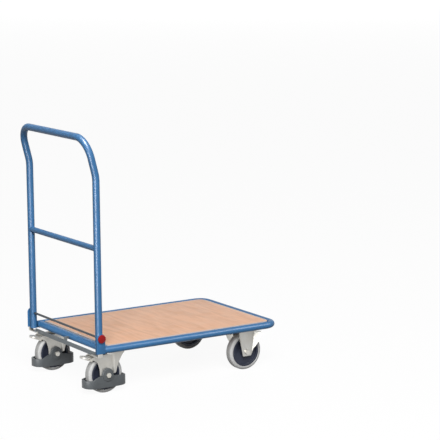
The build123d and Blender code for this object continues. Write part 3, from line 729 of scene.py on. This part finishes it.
@dataclass(frozen=True, kw_only=True)
class Rubber(Finish):
    """Rubber about a sideways axis, with a rubbed tread.

    Attributes:
        grain_scale: Fineness of the skin.
        softness: Weight of its coarser waves.
        tread: Colour of the rubbed tread.
        side_span: How far sideways a face looks, from tread to side.
        cloud_scale: Fineness of the colour's clouds.
        tread_tint: Factors of the tread's colour in the clouds.
        side_tint: Factors of the sides' colour in the clouds.
        dust: Dust on top.
    """

    rough_scale: float = 80.0
    strength: float = 0.5
    grain_scale: float
    softness: float = 0.8
    tread: Colour
    side_span: Span = (0.25, 0.75)
    cloud_scale: float = 45.0
    tread_tint: Span = (0.9, 1.08)
    side_tint: Span = (0.96, 1.03)
    dust: Dust = Dust(amount=0.12, scale=60.0, colour=(0.5, 0.48, 0.45))

    def wire(self, surface: Surface) -> None:
        """Joins smooth sides, rubbed tread, dust and fine skin.

        Args:
            surface: The material's surface.
        """
        normal = surface.node("ShaderNodeTexCoord", {}).outputs["Normal"]
        sideways = surface.maths("ABSOLUTE", surface.parts(normal)["Y"])
        clouds = surface.clouds(self.cloud_scale)
        rubbed = surface.tinted(clouds, self.tread, self.tread_tint)
        smooth = surface.tinted(clouds, self.colour, self.side_tint)
        face = surface.blend(surface.spread(sideways, self.side_span), rubbed, smooth)
        surface.give("Base Color", surface.dusted(self.dust, face))
        surface.give("Roughness", surface.clouds(self.rough_scale, *self.roughness))
        surface.grain(self.grain_scale, self.softness, self.bump, self.strength)


@dataclass(frozen=True, kw_only=True)
class Plastic(Finish):
    """Moulded plastic with a fine grained skin and rubbed edges.

    Attributes:
        grain_scale: Fineness of the skin.
        softness: Weight of its coarser waves.
        cloud_scale: Fineness of the colour's clouds.
        tint: Factors of the colour in the clouds.
        wear: How the edges are rubbed.
        pale_share: Share of the colour that rubbed edges keep.
        pale_added: White that is added to it there.
        dust: Dust on top.
    """

    rough_scale: float = 60.0
    strength: float = 0.5
    grain_scale: float
    softness: float = 0.5
    cloud_scale: float = 30.0
    tint: Span = (0.94, 1.06)
    wear: Wear = Wear(reach=0.0015, break_scale=120.0, amount=0.3)
    pale_share: float = 0.75
    pale_added: float = 0.12
    dust: Dust = Dust(amount=0.08, scale=50.0, colour=(0.42, 0.41, 0.39))

    def wire(self, surface: Surface) -> None:
        """Joins moulded colour, rubbed edges, dust and skin.

        Args:
            surface: The material's surface.
        """
        pale = tuple(self.pale_share * part + self.pale_added for part in self.colour)
        face = surface.tinted(surface.clouds(self.cloud_scale), self.colour, self.tint)
        face = surface.worn(self.wear, face, pale)
        surface.give("Base Color", surface.dusted(self.dust, face))
        surface.give("Roughness", surface.clouds(self.rough_scale, *self.roughness))
        surface.grain(self.grain_scale, self.softness, self.bump, self.strength)


FINISHES: dict[Slot, Finish] = {
    Slot.FRAME_PAINT: Paint(
        colour=(0.043, 0.158, 0.345),
        roughness=(0.28, 0.36),
        specular=0.06,
        bump=0.00006,
        grain_scale=520.0,
        coat=0.2,
    ),
    Slot.DECK_WOOD: Wood(
        colour=(0.835, 0.487, 0.313),
        dark=(0.715, 0.4, 0.25),
        roughness=(0.42, 0.55),
        specular=0.3,
        bump=0.00008,
    ),
    Slot.RAIL_PAINT: Paint(
        colour=(0.112, 0.128, 0.138),
        roughness=(0.42, 0.52),
        specular=0.35,
        bump=0.00005,
        grain_scale=620.0,
    ),
    Slot.ROD_BLACK: Paint(
        colour=(0.035, 0.042, 0.05),
        roughness=(0.35, 0.45),
        specular=0.45,
        bump=0.00003,
        grain_scale=700.0,
    ),
    Slot.KNOB_RED: Plastic(
        colour=(0.3, 0.006, 0.008),
        roughness=(0.32, 0.42),
        specular=0.22,
        bump=0.00003,
        grain_scale=900.0,
    ),
    Slot.CAP_BLACK: Plastic(
        colour=(0.03, 0.031, 0.033),
        roughness=(0.5, 0.6),
        specular=0.4,
        bump=0.00005,
        grain_scale=800.0,
    ),
    Slot.ZINC_SHEET: Zinc(
        colour=(0.5, 0.495, 0.47),
        warm=(0.47, 0.455, 0.42),
        roughness=(0.38, 0.5),
        specular=0.5,
        bump=0.00004,
        grain_scale=420.0,
    ),
    Slot.ZINC_HARDWARE: Zinc(
        colour=(0.58, 0.575, 0.55),
        warm=(0.6, 0.57, 0.5),
        roughness=(0.24, 0.36),
        specular=0.5,
        bump=0.00003,
        grain_scale=600.0,
    ),
    Slot.TYRE_GREY: Rubber(
        colour=(0.49, 0.49, 0.485),
        tread=(0.36, 0.36, 0.355),
        roughness=(0.55, 0.68),
        specular=0.3,
        bump=0.00006,
        grain_scale=650.0,
    ),
    Slot.RIM_DARK: Plastic(
        colour=(0.024, 0.029, 0.048),
        roughness=(0.42, 0.52),
        specular=0.3,
        bump=0.00004,
        grain_scale=800.0,
        wear=Wear(reach=0.0015, break_scale=120.0, amount=0.15),
    ),
    Slot.BUSH_WHITE: Plastic(
        colour=(0.7, 0.69, 0.65),
        roughness=(0.4, 0.5),
        specular=0.45,
        bump=0.00003,
        grain_scale=900.0,
    ),
    Slot.GUARD_GREY: Plastic(
        colour=(0.083, 0.092, 0.098),
        roughness=(0.34, 0.44),
        specular=0.4,
        bump=0.00008,
        grain_scale=620.0,
    ),
}


class Palette:
    """The materials of the trolley, one for each slot."""

    def __init__(self) -> None:
        """Makes every material."""
        shared = SharedEffects()
        self.materials = {slot: finish.material(slot.value, shared) for slot, finish in FINISHES.items()}
        self.slot_of = {part["node"]: Slot(part["material_slot"]) for part in frame["record"]["subparts"]}

    def dress(self, node: str) -> None:
        """Gives a shown CAD node its slot's material.

        Args:
            node: The CAD node.
        """
        mesh = frame["nodes"][node].data
        mesh.materials.clear()
        mesh.materials.append(self.materials[self.slot_of[node]])


@dataclass
class Workshop:
    """Turns bmeshes into finished pieces.

    Attributes:
        palette: The materials.
        replaced: CAD nodes that a piece stands for.
    """

    palette: Palette
    replaced: set[str] = field(default_factory=set)

    def piece(self, name: str, bm: bmesh.types.BMesh, slot: Slot, body: str, *nodes: str) -> None:
        """Makes one piece that rides on a body.

        Args:
            name: The piece's name.
            bm: Its mesh, which is freed.
            slot: The slot it takes its finish from.
            body: The body it rides on.
            nodes: CAD nodes that it stands for.
        """
        mesh = bpy.data.meshes.new(name)
        bm.to_mesh(mesh)
        bm.free()
        mesh.shade_smooth()
        mesh.set_sharp_from_angle(angle=math.radians(SHARP_ABOVE))
        mesh.materials.append(self.palette.materials[slot])
        made = bpy.data.objects.new(name, mesh)
        bpy.context.scene.collection.objects.link(made)
        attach(made, body)
        if nodes:
            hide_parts(*nodes)
            self.replaced.update(nodes)
        LOG.info("%s on %s: %d faces", name, body, len(mesh.polygons))

    def softened(self, node: str, body: str, width: float, steps: int = EDGE_STEPS) -> None:
        """Stands a copy of a CAD node with rounded edges in its place.

        Args:
            node: The CAD node.
            body: The body it rides on.
            width: Width of the rounding.
            steps: Steps across the rounding.
        """
        bm = bmesh.new()
        bm.from_mesh(frame["nodes"][node].data)
        bmesh.ops.remove_doubles(bm, verts=bm.verts[:], dist=SAME_PLACE)
        flat = math.radians(FLAT_WITHIN)
        bmesh.ops.dissolve_limit(bm, angle_limit=flat, verts=bm.verts[:], edges=bm.edges[:])
        limit = math.radians(ROUND_ABOVE)
        sharp = [edge for edge in bm.edges if edge.is_manifold and edge.calc_face_angle(0.0) > limit]
        bmesh.ops.bevel(
            bm,
            geom=sharp,
            offset=width,
            offset_type="OFFSET",
            affect="EDGES",
            segments=steps,
            profile=0.5,
            material=-1,
            clamp_overlap=True,
        )
        self.piece(f"{node}_finished", bm, self.palette.slot_of[node], body, node)

    def welded(self, name: str, body: str, beads: list["WeldBead"]) -> None:
        """Makes one piece of some weld beads.

        Args:
            name: The piece's name.
            body: The body it rides on.
            beads: The beads.
        """
        bm = bmesh.new()
        for bead in beads:
            bead.add_to(bm)
        bmesh.ops.recalc_face_normals(bm, faces=bm.faces[:])
        self.piece(name, bm, Slot.FRAME_PAINT, body)


@dataclass
class TubeRun:
    """A tube drawn out run by run from one open end.

    Attributes:
        radius: Outer radius.
        wall: Wall thickness.
        place: Centre of the open end, which moves along.
        heading: Direction of the next run.
        sides: Faces round the tube.
        bm: The mesh so far.
        rim: Edges of the open end.
    """

    radius: float
    wall: float
    place: Vector
    heading: Vector
    sides: int = 40
    bm: bmesh.types.BMesh = field(default_factory=bmesh.new)
    rim: list[bmesh.types.BMEdge] = field(default_factory=list)

    def __post_init__(self) -> None:
        """Draws the first open end."""
        turn = self.heading.to_track_quat("Z", "Y").to_matrix().to_4x4()
        bmesh.ops.create_circle(
            self.bm,
            cap_ends=False,
            segments=self.sides,
            radius=self.radius,
            matrix=Matrix.Translation(self.place) @ turn,
        )
        self.rim = self.bm.edges[:]

    def straight(self, length: float) -> "TubeRun":
        """Adds a straight run.

        Args:
            length: Length of the run.

        Returns:
            The tube itself.
        """
        made = bmesh.ops.extrude_edge_only(self.bm, edges=self.rim)["geom"]
        corners = [part for part in made if isinstance(part, bmesh.types.BMVert)]
        bmesh.ops.translate(self.bm, verts=corners, vec=self.heading * length)
        edges = [part for part in made if isinstance(part, bmesh.types.BMEdge)]
        self.rim = [edge for edge in edges if all(corner in corners for corner in edge.verts)]
        self.place = self.place + self.heading * length
        return self

    def bend(self, degrees: float, radius: float, toward: Vector, steps: int) -> "TubeRun":
        """Adds a bend.

        Args:
            degrees: How far the heading turns.
            radius: Radius of the bend's centre line.
            toward: Direction of the bend's centre.
            steps: Steps along the bend.

        Returns:
            The tube itself.
        """
        centre = self.place + toward * radius
        axis = self.heading.cross(toward)
        angle = math.radians(degrees)
        corners = dict.fromkeys(corner for edge in self.rim for corner in edge.verts)
        made = bmesh.ops.spin(
            self.bm,
            geom=self.rim + list(corners),
            cent=centre,
            axis=axis,
            angle=angle,
            steps=steps,
            use_duplicate=False,
        )["geom_last"]
        self.rim = [part for part in made if isinstance(part, bmesh.types.BMEdge)]
        turn = Matrix.Rotation(angle, 3, axis)
        self.place = centre + turn @ (self.place - centre)
        self.heading = turn @ self.heading
        return self

    def walled(self) -> bmesh.types.BMesh:
        """Closes the tube into a wall.

        Returns:
            The finished mesh.
        """
        bmesh.ops.remove_doubles(self.bm, verts=self.bm.verts[:], dist=SAME_PLACE)
        bmesh.ops.recalc_face_normals(self.bm, faces=self.bm.faces[:])
        bmesh.ops.solidify(self.bm, geom=self.bm.faces[:], thickness=self.wall)
        return self.bm


@dataclass
class WeldBead:
    """Rippled bead round the end of one tube where it meets another.

    Attributes:
        centre: Where the tube's axis meets the host's surface.
        axis: Direction in which the tube runs into its host.
        host_axis: Direction of the host's own axis.
        radius: Radius of the tube.
        host_radius: Radius of the host.
        deepest: How far the bead may follow the host round.
        bead: Radius of the bead.
        sides: Faces round the bead.
        ripples: Ripples round the joint.
        ripple_steps: Steps along each ripple.
        swell: How far a ripple stands out, as a share of the bead.
    """

    centre: Vector
    axis: Vector
    host_axis: Vector
    radius: float
    host_radius: float
    deepest: float
    bead: float = 0.0018
    sides: int = 10
    ripples: int = 26
    ripple_steps: int = 6
    swell: float = 0.16

    def add_to(self, bm: bmesh.types.BMesh) -> None:
        """Adds the bead to a mesh.

        Args:
            bm: The mesh that takes the bead.
        """
        out = self.axis.orthogonal().normalized()
        turn = Matrix((self.axis, out, self.axis.cross(out))).transposed().to_4x4()
        before = len(bm.verts)
        ring = bmesh.ops.create_circle(
            bm,
            cap_ends=False,
            segments=self.sides,
            radius=self.bead,
            matrix=Matrix.Translation(self.centre + out * self.radius) @ turn,
        )["verts"]
        edges = dict.fromkeys(edge for corner in ring for edge in corner.link_edges)
        bmesh.ops.spin(
            bm,
            geom=ring + list(edges),
            cent=self.centre,
            axis=self.axis,
            angle=2 * math.pi,
            steps=self.ripple_steps * self.ripples,
            use_merge=True,
            use_duplicate=False,
        )
        bm.verts.ensure_lookup_table()
        for corner in bm.verts[before:]:
            self.settle(corner, out)

    def settle(self, corner: bmesh.types.BMVert, out: Vector) -> None:
        """Moves one corner on to the host and gives it its ripple.

        Args:
            corner: The corner to move.
            out: Direction from which the angle round the tube counts.
        """
        offset = corner.co - self.centre
        along = offset.dot(self.axis)
        flat = offset - self.axis * along
        angle = math.atan2(flat.dot(self.axis.cross(out)), flat.dot(out))
        size = 1.0 + self.swell * math.sin(self.ripples * angle)
        ring = flat.normalized() * self.radius
        away = ring.dot(self.axis.cross(self.host_axis))
        inside = max(self.host_radius**2 - away**2, 0.0)
        sunk = min(self.host_radius - math.sqrt(inside), self.deepest)
        corner.co = self.centre + ring + (flat - ring) * size + self.axis * (along * size + sunk)


@dataclass
class DeckFrame:
    """Tube frame, deck board and cross plates.

    Attributes:
        tube_radius: Outer radius of the tubes.
        wall: Their wall thickness.
        axis_z: Height of the tubes' centre line.
        half_width: Half distance between the long tubes.
        front_x: Centre line of the front end.
        rear_x: Centre line of the rear tube.
        end_x: Rear ends of the long tubes.
        corner: Radius of the front corners.
        corner_steps: Steps along a corner.
        cope: How far the rear tube reaches round the long tubes.
        bracket_edge: Rounding of the brackets.
        plate_edge: Rounding of the cross plates, screws and bolts.
        board_edge: Rounding of the deck board.
    """

    tube_radius: float = 0.0125
    wall: float = 0.002
    axis_z: float = 0.1625
    half_width: float = 0.245
    front_x: float = 0.379
    rear_x: float = -0.321
    end_x: float = -0.3304
    corner: float = 0.04
    corner_steps: int = 24
    cope: float = 0.0072
    bracket_edge: float = 0.0006
    plate_edge: float = 0.0005
    board_edge: float = 0.0008

    def build(self, shop: Workshop) -> None:
        """Builds the frame's pieces.

        Args:
            shop: The workshop that makes the pieces.
        """
        self.build_perimeter(shop)
        self.build_rear_tube(shop)
        self.build_welds(shop)
        for node in ("bracket_left", "bracket_right"):
            shop.softened(node, "frame", self.bracket_edge)
        for node in ("rear_cross_plate", "middle_cross_plate", "front_cross_plate"):
            shop.softened(node, "frame", self.plate_edge)
        shop.softened("deck_board", "frame", self.board_edge, WIDE_STEPS)
        for node in ("deck_screws", "castor_bolts"):
            shop.softened(node, "frame", self.plate_edge)

    def build_perimeter(self, shop: Workshop) -> None:
        """Draws the tube round the two sides and the front.

        Args:
            shop: The workshop that makes the piece.
        """
        run = self.front_x - self.corner - self.end_x
        start = Vector((self.end_x, self.half_width, self.axis_z))
        tube = TubeRun(self.tube_radius, self.wall, start, AHEAD)
        tube.straight(run).bend(RIGHT_ANGLE, self.corner, RIGHTWARD, self.corner_steps)
        tube.straight(2 * (self.half_width - self.corner))
        tube.bend(RIGHT_ANGLE, self.corner, BACKWARD, self.corner_steps).straight(run)
        shop.piece("perimeter_tube_drawn", tube.walled(), Slot.FRAME_PAINT, "frame", "perimeter_tube")

    def build_rear_tube(self, shop: Workshop) -> None:
        """Draws the rear end tube.

        Args:
            shop: The workshop that makes the piece.
        """
        reach = self.half_width - self.tube_radius + self.cope
        start = Vector((self.rear_x, reach, self.axis_z))
        tube = TubeRun(self.tube_radius, self.wall, start, RIGHTWARD).straight(2 * reach)
        shop.piece("rear_tube_drawn", tube.walled(), Slot.FRAME_PAINT, "frame", "rear_tube")

    def build_welds(self, shop: Workshop) -> None:
        """Lays the weld beads between the rear tube and the long tubes.

        Args:
            shop: The workshop that makes the piece.
        """
        inner = self.half_width - self.tube_radius
        beads = [
            WeldBead(
                centre=Vector((self.rear_x, side.value * inner, self.axis_z)),
                axis=side.outward,
                host_axis=AHEAD,
                radius=self.tube_radius,
                host_radius=self.tube_radius,
                deepest=self.cope,
            )
            for side in Side
        ]
        shop.welded("frame_welds", "frame", beads)


@dataclass
class FootRail:
    """Flat rail behind the rear tube with its tabs and strap.

    Attributes:
        rail_edge: Rounding of the rail.
        strap_edge: Rounding of the strap.
        tab_edge: Rounding of the tabs.
    """

    rail_edge: float = 0.0008
    strap_edge: float = 0.0005
    tab_edge: float = 0.0004

    def build(self, shop: Workshop) -> None:
        """Builds the rail's pieces.

        Args:
            shop: The workshop that makes the pieces.
        """
        shop.softened("foot_rail", "frame", self.rail_edge)
        shop.softened("rail_strap", "frame", self.strap_edge)
        shop.softened("rail_tabs", "frame", self.tab_edge)


@dataclass
class FoldingHandle:
    """Bent handle tube with its crossbar, pivots and knob.

    Attributes:
        tube_radius: Outer radius of the handle tube.
        wall: Its wall thickness.
        leg_x: Centre line of the legs.
        half_spacing: Half distance between the legs.
        leg_end_z: Foot of the legs.
        bend_z: Where the legs begin to lean back.
        lean: How far they lean, in degrees.
        lean_radius: Radius of that bend.
        lean_steps: Steps along it.
        rise: Length from that bend to the grip.
        corner: Radius of the grip's corners.
        corner_steps: Steps along a corner.
        crossbar_z: Height of the crossbar.
        crossbar_radius: Its outer radius.
        cope: How far the crossbar reaches round the legs.
        cap_edge: Rounding of the leg caps.
        sleeve_edge: Rounding of the pivot sleeves.
        knob_edge: Rounding of the knob.
        nut_edge: Rounding of the cap nut.
        washer_edge: Rounding of the washers.
    """

    tube_radius: float = 0.0125
    wall: float = 0.0015
    leg_x: float = -0.3465
    half_spacing: float = 0.244
    leg_end_z: float = 0.1515
    bend_z: float = 0.7425
    lean: float = 14.0
    lean_radius: float = 0.134
    lean_steps: int = 10
    rise: float = 0.1195
    corner: float = 0.069
    corner_steps: int = 28
    crossbar_z: float = 0.514
    crossbar_radius: float = 0.01
    cope: float = 0.0072
    cap_edge: float = 0.0005
    sleeve_edge: float = 0.0003
    knob_edge: float = 0.0006
    nut_edge: float = 0.0004
    washer_edge: float = 0.0002

    def build(self, shop: Workshop) -> None:
        """Builds the handle's pieces.

        Args:
            shop: The workshop that makes the pieces.
        """
        self.build_tube(shop)
        self.build_crossbar(shop)
        self.build_welds(shop)
        shop.softened("leg_caps", "handle", self.cap_edge)
        shop.softened("pivot_sleeves", "handle", self.sleeve_edge)
        shop.softened("clamp_knob", "knob", self.knob_edge, WIDE_STEPS)
        shop.softened("rod_cap_nut", "frame", self.nut_edge)
        shop.softened("rod_washers", "frame", self.washer_edge)

    def build_tube(self, shop: Workshop) -> None:
        """Draws the handle from the foot of one leg to the other.

        Args:
            shop: The workshop that makes the piece.
        """
        start = Vector((self.leg_x, self.half_spacing, self.leg_end_z))
        upright = self.bend_z - self.leg_end_z
        slope = self.rise - self.corner
        angle = math.radians(self.lean)
        down = Vector((math.sin(angle), 0, -math.cos(angle)))
        inward = Vector((-math.cos(angle), 0, -math.sin(angle)))
        tube = TubeRun(self.tube_radius, self.wall, start, UPWARD)
        tube.straight(upright).bend(self.lean, self.lean_radius, BACKWARD, self.lean_steps)
        tube.straight(slope).bend(RIGHT_ANGLE, self.corner, RIGHTWARD, self.corner_steps)
        tube.straight(2 * (self.half_spacing - self.corner))
        tube.bend(RIGHT_ANGLE, self.corner, down, self.corner_steps).straight(slope)
        tube.bend(self.lean, self.lean_radius, inward, self.lean_steps).straight(upright)
        shop.piece("handle_tube_drawn", tube.walled(), Slot.FRAME_PAINT, "handle", "handle_tube")

    def build_crossbar(self, shop: Workshop) -> None:
        """Draws the crossbar between the legs.

        Args:
            shop: The workshop that makes the piece.
        """
        reach = self.half_spacing - self.tube_radius + self.cope
        start = Vector((self.leg_x, reach, self.crossbar_z))
        tube = TubeRun(self.crossbar_radius, self.wall, start, RIGHTWARD).straight(2 * reach)
        shop.piece("handle_crossbar_drawn", tube.walled(), Slot.FRAME_PAINT, "handle", "handle_crossbar")

    def build_welds(self, shop: Workshop) -> None:
        """Lays the weld beads between the crossbar and the legs.

        Args:
            shop: The workshop that makes the piece.
        """
        inner = self.half_spacing - self.tube_radius
        beads = [
            WeldBead(
                centre=Vector((self.leg_x, side.value * inner, self.crossbar_z)),
                axis=side.outward,
                host_axis=UPWARD,
                radius=self.crossbar_radius,
                host_radius=self.tube_radius,
                deepest=self.cope,
            )
            for side in Side
        ]
        shop.welded("handle_welds", "handle", beads)


@dataclass
class FixedCastor:
    """Front castor of one side.

    Attributes:
        side: The castor's side.
        edge: Rounding of its pieces.
    """

    side: Side
    edge: float = 0.0006

    def build(self, shop: Workshop) -> None:
        """Builds the castor's pieces.

        Args:
            shop: The workshop that makes the pieces.
        """
        word = self.side.word
        shop.softened(f"front_fork_{word}", "frame", self.edge)
        for kind in ("tyre", "rim"):
            shop.softened(f"front_{kind}_{word}", f"wheel_front_{word}", self.edge)


@dataclass
class SwivelCastor:
    """Rear castor of one side, with its guard and brake.

    Attributes:
        side: The castor's side.
        edge: Rounding of the fork, the brake and the wheel.
        plate_edge: Rounding of the top plate.
        guard_edge: Rounding of the foot guard and the axle nut.
        bolt_edge: Rounding of the axle bolt's head.
    """

    side: Side
    edge: float = 0.0006
    plate_edge: float = 0.0005
    guard_edge: float = 0.001
    bolt_edge: float = 0.0018

    def build(self, shop: Workshop) -> None:
        """Builds the castor's pieces.

        Args:
            shop: The workshop that makes the pieces.
        """
        word = self.side.word
        swivel = f"swivel_{word}"
        shop.softened(f"swivel_fork_{word}", swivel, self.edge)
        shop.softened(f"swivel_plate_{word}", "frame", self.plate_edge)
        shop.softened(f"foot_guard_{word}", swivel, self.guard_edge, WIDE_STEPS)
        shop.softened(f"rear_axle_bolt_{word}", swivel, self.bolt_edge, WIDE_STEPS)
        shop.softened(f"rear_axle_nut_{word}", swivel, self.guard_edge, WIDE_STEPS)
        for kind in ("pedal", "shoe"):
            shop.softened(f"brake_{kind}_{word}", f"brake_{word}", self.edge)
        for kind in ("tyre", "rim"):
            shop.softened(f"rear_{kind}_{word}", f"wheel_rear_{word}", self.edge)


class Shows(Enum):
    """What the light of a lamp is seen in."""

    EVERYWHERE = "everywhere"
    IN_GLOSS = "gloss"
    IN_COLOUR = "colour"


@dataclass
class Lamp:
    """A soft light with an oblong face that looks at one point.

    Attributes:
        name: The lamp's name.
        place: Where it stands.
        target: Where it looks.
        face: Width and height of its face.
        power: Its power in watts.
        shows: What it is seen in.
        only: How the names of the pieces that it lights begin, or nothing for all.
    """

    name: str
    place: tuple[float, float, float]
    target: tuple[float, float, float]
    face: tuple[float, float]
    power: float
    shows: Shows = Shows.EVERYWHERE
    only: tuple[str, ...] = ()

    def build(self) -> None:
        """Hangs the lamp."""
        light = bpy.data.lights.new(self.name, "AREA")
        light.shape = "RECTANGLE"
        light.size, light.size_y = self.face
        light.energy = self.power
        made = bpy.data.objects.new(self.name, light)
        made.location = self.place
        aim = Vector(self.target) - Vector(self.place)
        made.rotation_euler = aim.to_track_quat("-Z", "Y").to_euler()
        made.visible_camera = False
        made.visible_diffuse = self.shows is not Shows.IN_GLOSS
        made.visible_glossy = self.shows is not Shows.IN_COLOUR
        if self.only:
            lit = bpy.data.collections.new(f"{self.name}_lights")
            for piece in bpy.data.objects:
                if piece.name.startswith(self.only):
                    lit.objects.link(piece)
            made.light_linking.receiver_collection = lit
        bpy.context.scene.collection.objects.link(made)


LAMPS = (
    # The main light, from the camera's side.
    Lamp(
        name="key",
        place=(-2.9, -6.0, 5.5),
        target=(0.0, 0.0, 0.4),
        face=(4.6, 4.6),
        power=880.0,
    ),
    # Light on the faces that look away from the camera.
    Lamp(
        name="back",
        place=(20.0, 26.0, 9.0),
        target=(0.0, 0.0, 0.3),
        face=(14.0, 10.0),
        power=4900.0,
        shows=Shows.IN_COLOUR,
    ),
    # The long highlight on the side of the deck.
    Lamp(
        name="sheen",
        place=(2.3, -2.4, 2.2),
        target=(0.0, -0.2, 0.2),
        face=(1.6, 1.2),
        power=170.0,
        shows=Shows.IN_GLOSS,
        only=("perimeter_tube",),
    ),
    # The highlight round the grip.
    Lamp(
        name="arch",
        place=(-1.05, -1.15, 3.68),
        target=(-0.45, -0.2, 0.9),
        face=(1.5, 2.2),
        power=850.0,
        shows=Shows.IN_GLOSS,
        only=("handle_tube",),
    ),
    # Light under the rear end.
    Lamp(
        name="side",
        place=(-3.2, -0.5, 0.7),
        target=(-0.3, 0.0, 0.2),
        face=(0.8, 0.8),
        power=38.0,
        only=("foot_", "rear_", "swivel_", "brake_", "front_", "rail_", "bracket_"),
    ),
    # Light on the tops of the handle and the rear tube.
    Lamp(
        name="top",
        place=(-1.2, -0.6, 4.2),
        target=(-0.35, 0.0, 0.5),
        face=(1.6, 1.6),
        power=34.0,
        shows=Shows.IN_COLOUR,
        only=("handle_", "rear_tube"),
    ),
    # Gloss on what looks back.
    Lamp(
        name="flare",
        place=(-3.5, -1.6, 0.36),
        target=(0.0, 0.0, 0.2),
        face=(2.2, 0.7),
        power=72.0,
        shows=Shows.IN_GLOSS,
    ),
    # The long highlights on the legs.
    Lamp(
        name="streak",
        place=(-1.2, -0.98, 0.46),
        target=(-0.35, 0.0, 0.46),
        face=(0.2, 0.88),
        power=42.0,
        shows=Shows.IN_GLOSS,
        only=("handle_tube",),
    ),
    # Light in the shadow of the deck.
    Lamp(
        name="wheel",
        place=(-1.2, -0.42, 0.12),
        target=(0.26, -0.19, 0.1),
        face=(0.3, 0.2),
        power=3.5,
        shows=Shows.IN_COLOUR,
        only=("front_tyre_right",),
    ),
)


@dataclass
class Studio:
    """Pale floor, soft lamps, white surroundings and the camera.

    Attributes:
        yaw: Camera's turn from looking along Y, in degrees.
        pitch: Its tilt down.
        roll: Its turn about its own line of sight.
        lens: Its focal length in millimetres.
        sensor: Width of its sensor in millimetres.
        sight: How far it sees.
        camera_place: Where it stands.
        floor_radius: Size of the floor.
        floor_sides: Sides of the floor's edge.
        floor_bounce: How much light the floor throws back on to the trolley.
        show: Share of the floor that shows white whatever falls on it.
        ambient: Strength of the surroundings' light.
    """

    yaw: float = -32.60
    pitch: float = 9.63
    roll: float = -0.45
    lens: float = 151.77
    sensor: float = 36.0
    sight: float = 200.0
    camera_place: tuple[float, float, float] = (-3.30979, -5.64745, 1.65406)
    floor_radius: float = 80.0
    floor_sides: int = 96
    floor_bounce: float = 0.14
    show: float = 0.94
    ambient: float = 0.03

    def build(self) -> None:
        """Sets up floor, light, surroundings and camera."""
        self.build_floor()
        self.build_world()
        for lamp in LAMPS:
            lamp.build()
        self.build_camera()
        bpy.context.scene.view_settings.view_transform = "Standard"

    def seen(self, wiring: Wiring) -> Wire:
        """Mask of the rays that show the background itself.

        Args:
            wiring: The tree that asks.

        Returns:
            Socket that is 1 for camera, glossy and transmission rays.
        """
        path = wiring.node("ShaderNodeLightPath", {}).outputs
        first = wiring.maths("MAXIMUM", path["Is Camera Ray"], path["Is Glossy Ray"])
        return wiring.maths("MAXIMUM", first, path["Is Transmission Ray"])

    def build_floor(self) -> None:
        """Lays the floor, which keeps the trolley's soft shadow."""
        bm = bmesh.new()
        bmesh.ops.create_circle(bm, cap_ends=True, segments=self.floor_sides, radius=self.floor_radius)
        mesh = bpy.data.meshes.new("floor")
        bm.to_mesh(mesh)
        bm.free()
        material = bpy.data.materials.new("pale_floor")
        material.use_nodes = True
        material.node_tree.nodes.clear()
        wiring = Wiring(material.node_tree)
        seen = self.seen(wiring)
        tone = wiring.blend(seen, shade(WHITE, self.floor_bounce), WHITE)
        matt = wiring.node("ShaderNodeBsdfDiffuse", {"Color": tone})
        white = wiring.node("ShaderNodeEmission", {"Color": opaque(WHITE), "Strength": 1.0})
        share = wiring.maths("MULTIPLY", seen, self.show)
        mixed = wiring.node("ShaderNodeMixShader", {0: share, 1: matt.outputs[0], 2: white.outputs[0]})
        wiring.node("ShaderNodeOutputMaterial", {"Surface": mixed.outputs[0]})
        mesh.materials.append(material)
        floor = bpy.data.objects.new("floor", mesh)
        bpy.context.scene.collection.objects.link(floor)

    def build_world(self) -> None:
        """Makes surroundings that look white and light softly."""
        world = bpy.data.worlds.new("studio")
        world.use_nodes = True
        world.node_tree.nodes.clear()
        wiring = Wiring(world.node_tree)
        strength = wiring.spread(self.seen(wiring), (0.0, 1.0), self.ambient)
        air = wiring.node("ShaderNodeBackground", {"Color": opaque(WHITE), "Strength": strength})
        wiring.node("ShaderNodeOutputWorld", {"Surface": air.outputs[0]})
        bpy.context.scene.world = world

    def build_camera(self) -> None:
        """Stands the camera where the picture was taken from."""
        yaw = math.radians(self.yaw)
        pitch = math.radians(self.pitch)
        roll = math.radians(self.roll)
        level = Vector((math.cos(yaw), math.sin(yaw), 0.0))
        forward = math.cos(pitch) * Vector((-math.sin(yaw), math.cos(yaw), 0.0)) - math.sin(pitch) * UPWARD
        rise = level.cross(forward)
        right = math.cos(roll) * level + math.sin(roll) * rise
        up = -math.sin(roll) * level + math.cos(roll) * rise
        turn = Matrix((right, up, -forward)).transposed().to_4x4()
        lens = bpy.data.cameras.new("camera")
        lens.sensor_width = self.sensor
        lens.lens = self.lens
        lens.clip_end = self.sight
        made = bpy.data.objects.new("camera", lens)
        made.matrix_world = Matrix.Translation(Vector(self.camera_place)) @ turn
        bpy.context.scene.collection.objects.link(made)
        bpy.context.scene.camera = made


def main() -> None:
    """Builds the trolley's looks and the studio, and logs each piece."""
    logging.basicConfig(level=logging.INFO, format="%(message)s")
    palette = Palette()
    shop = Workshop(palette)
    DeckFrame().build(shop)
    FootRail().build(shop)
    FoldingHandle().build(shop)
    for side in Side:
        FixedCastor(side).build(shop)
        SwivelCastor(side).build(shop)
    for node in frame["nodes"]:
        if node not in shop.replaced:
            palette.dress(node)
            LOG.info("%s dressed as it is", node)
    Studio().build()


if __name__ == "__main__":
    main()
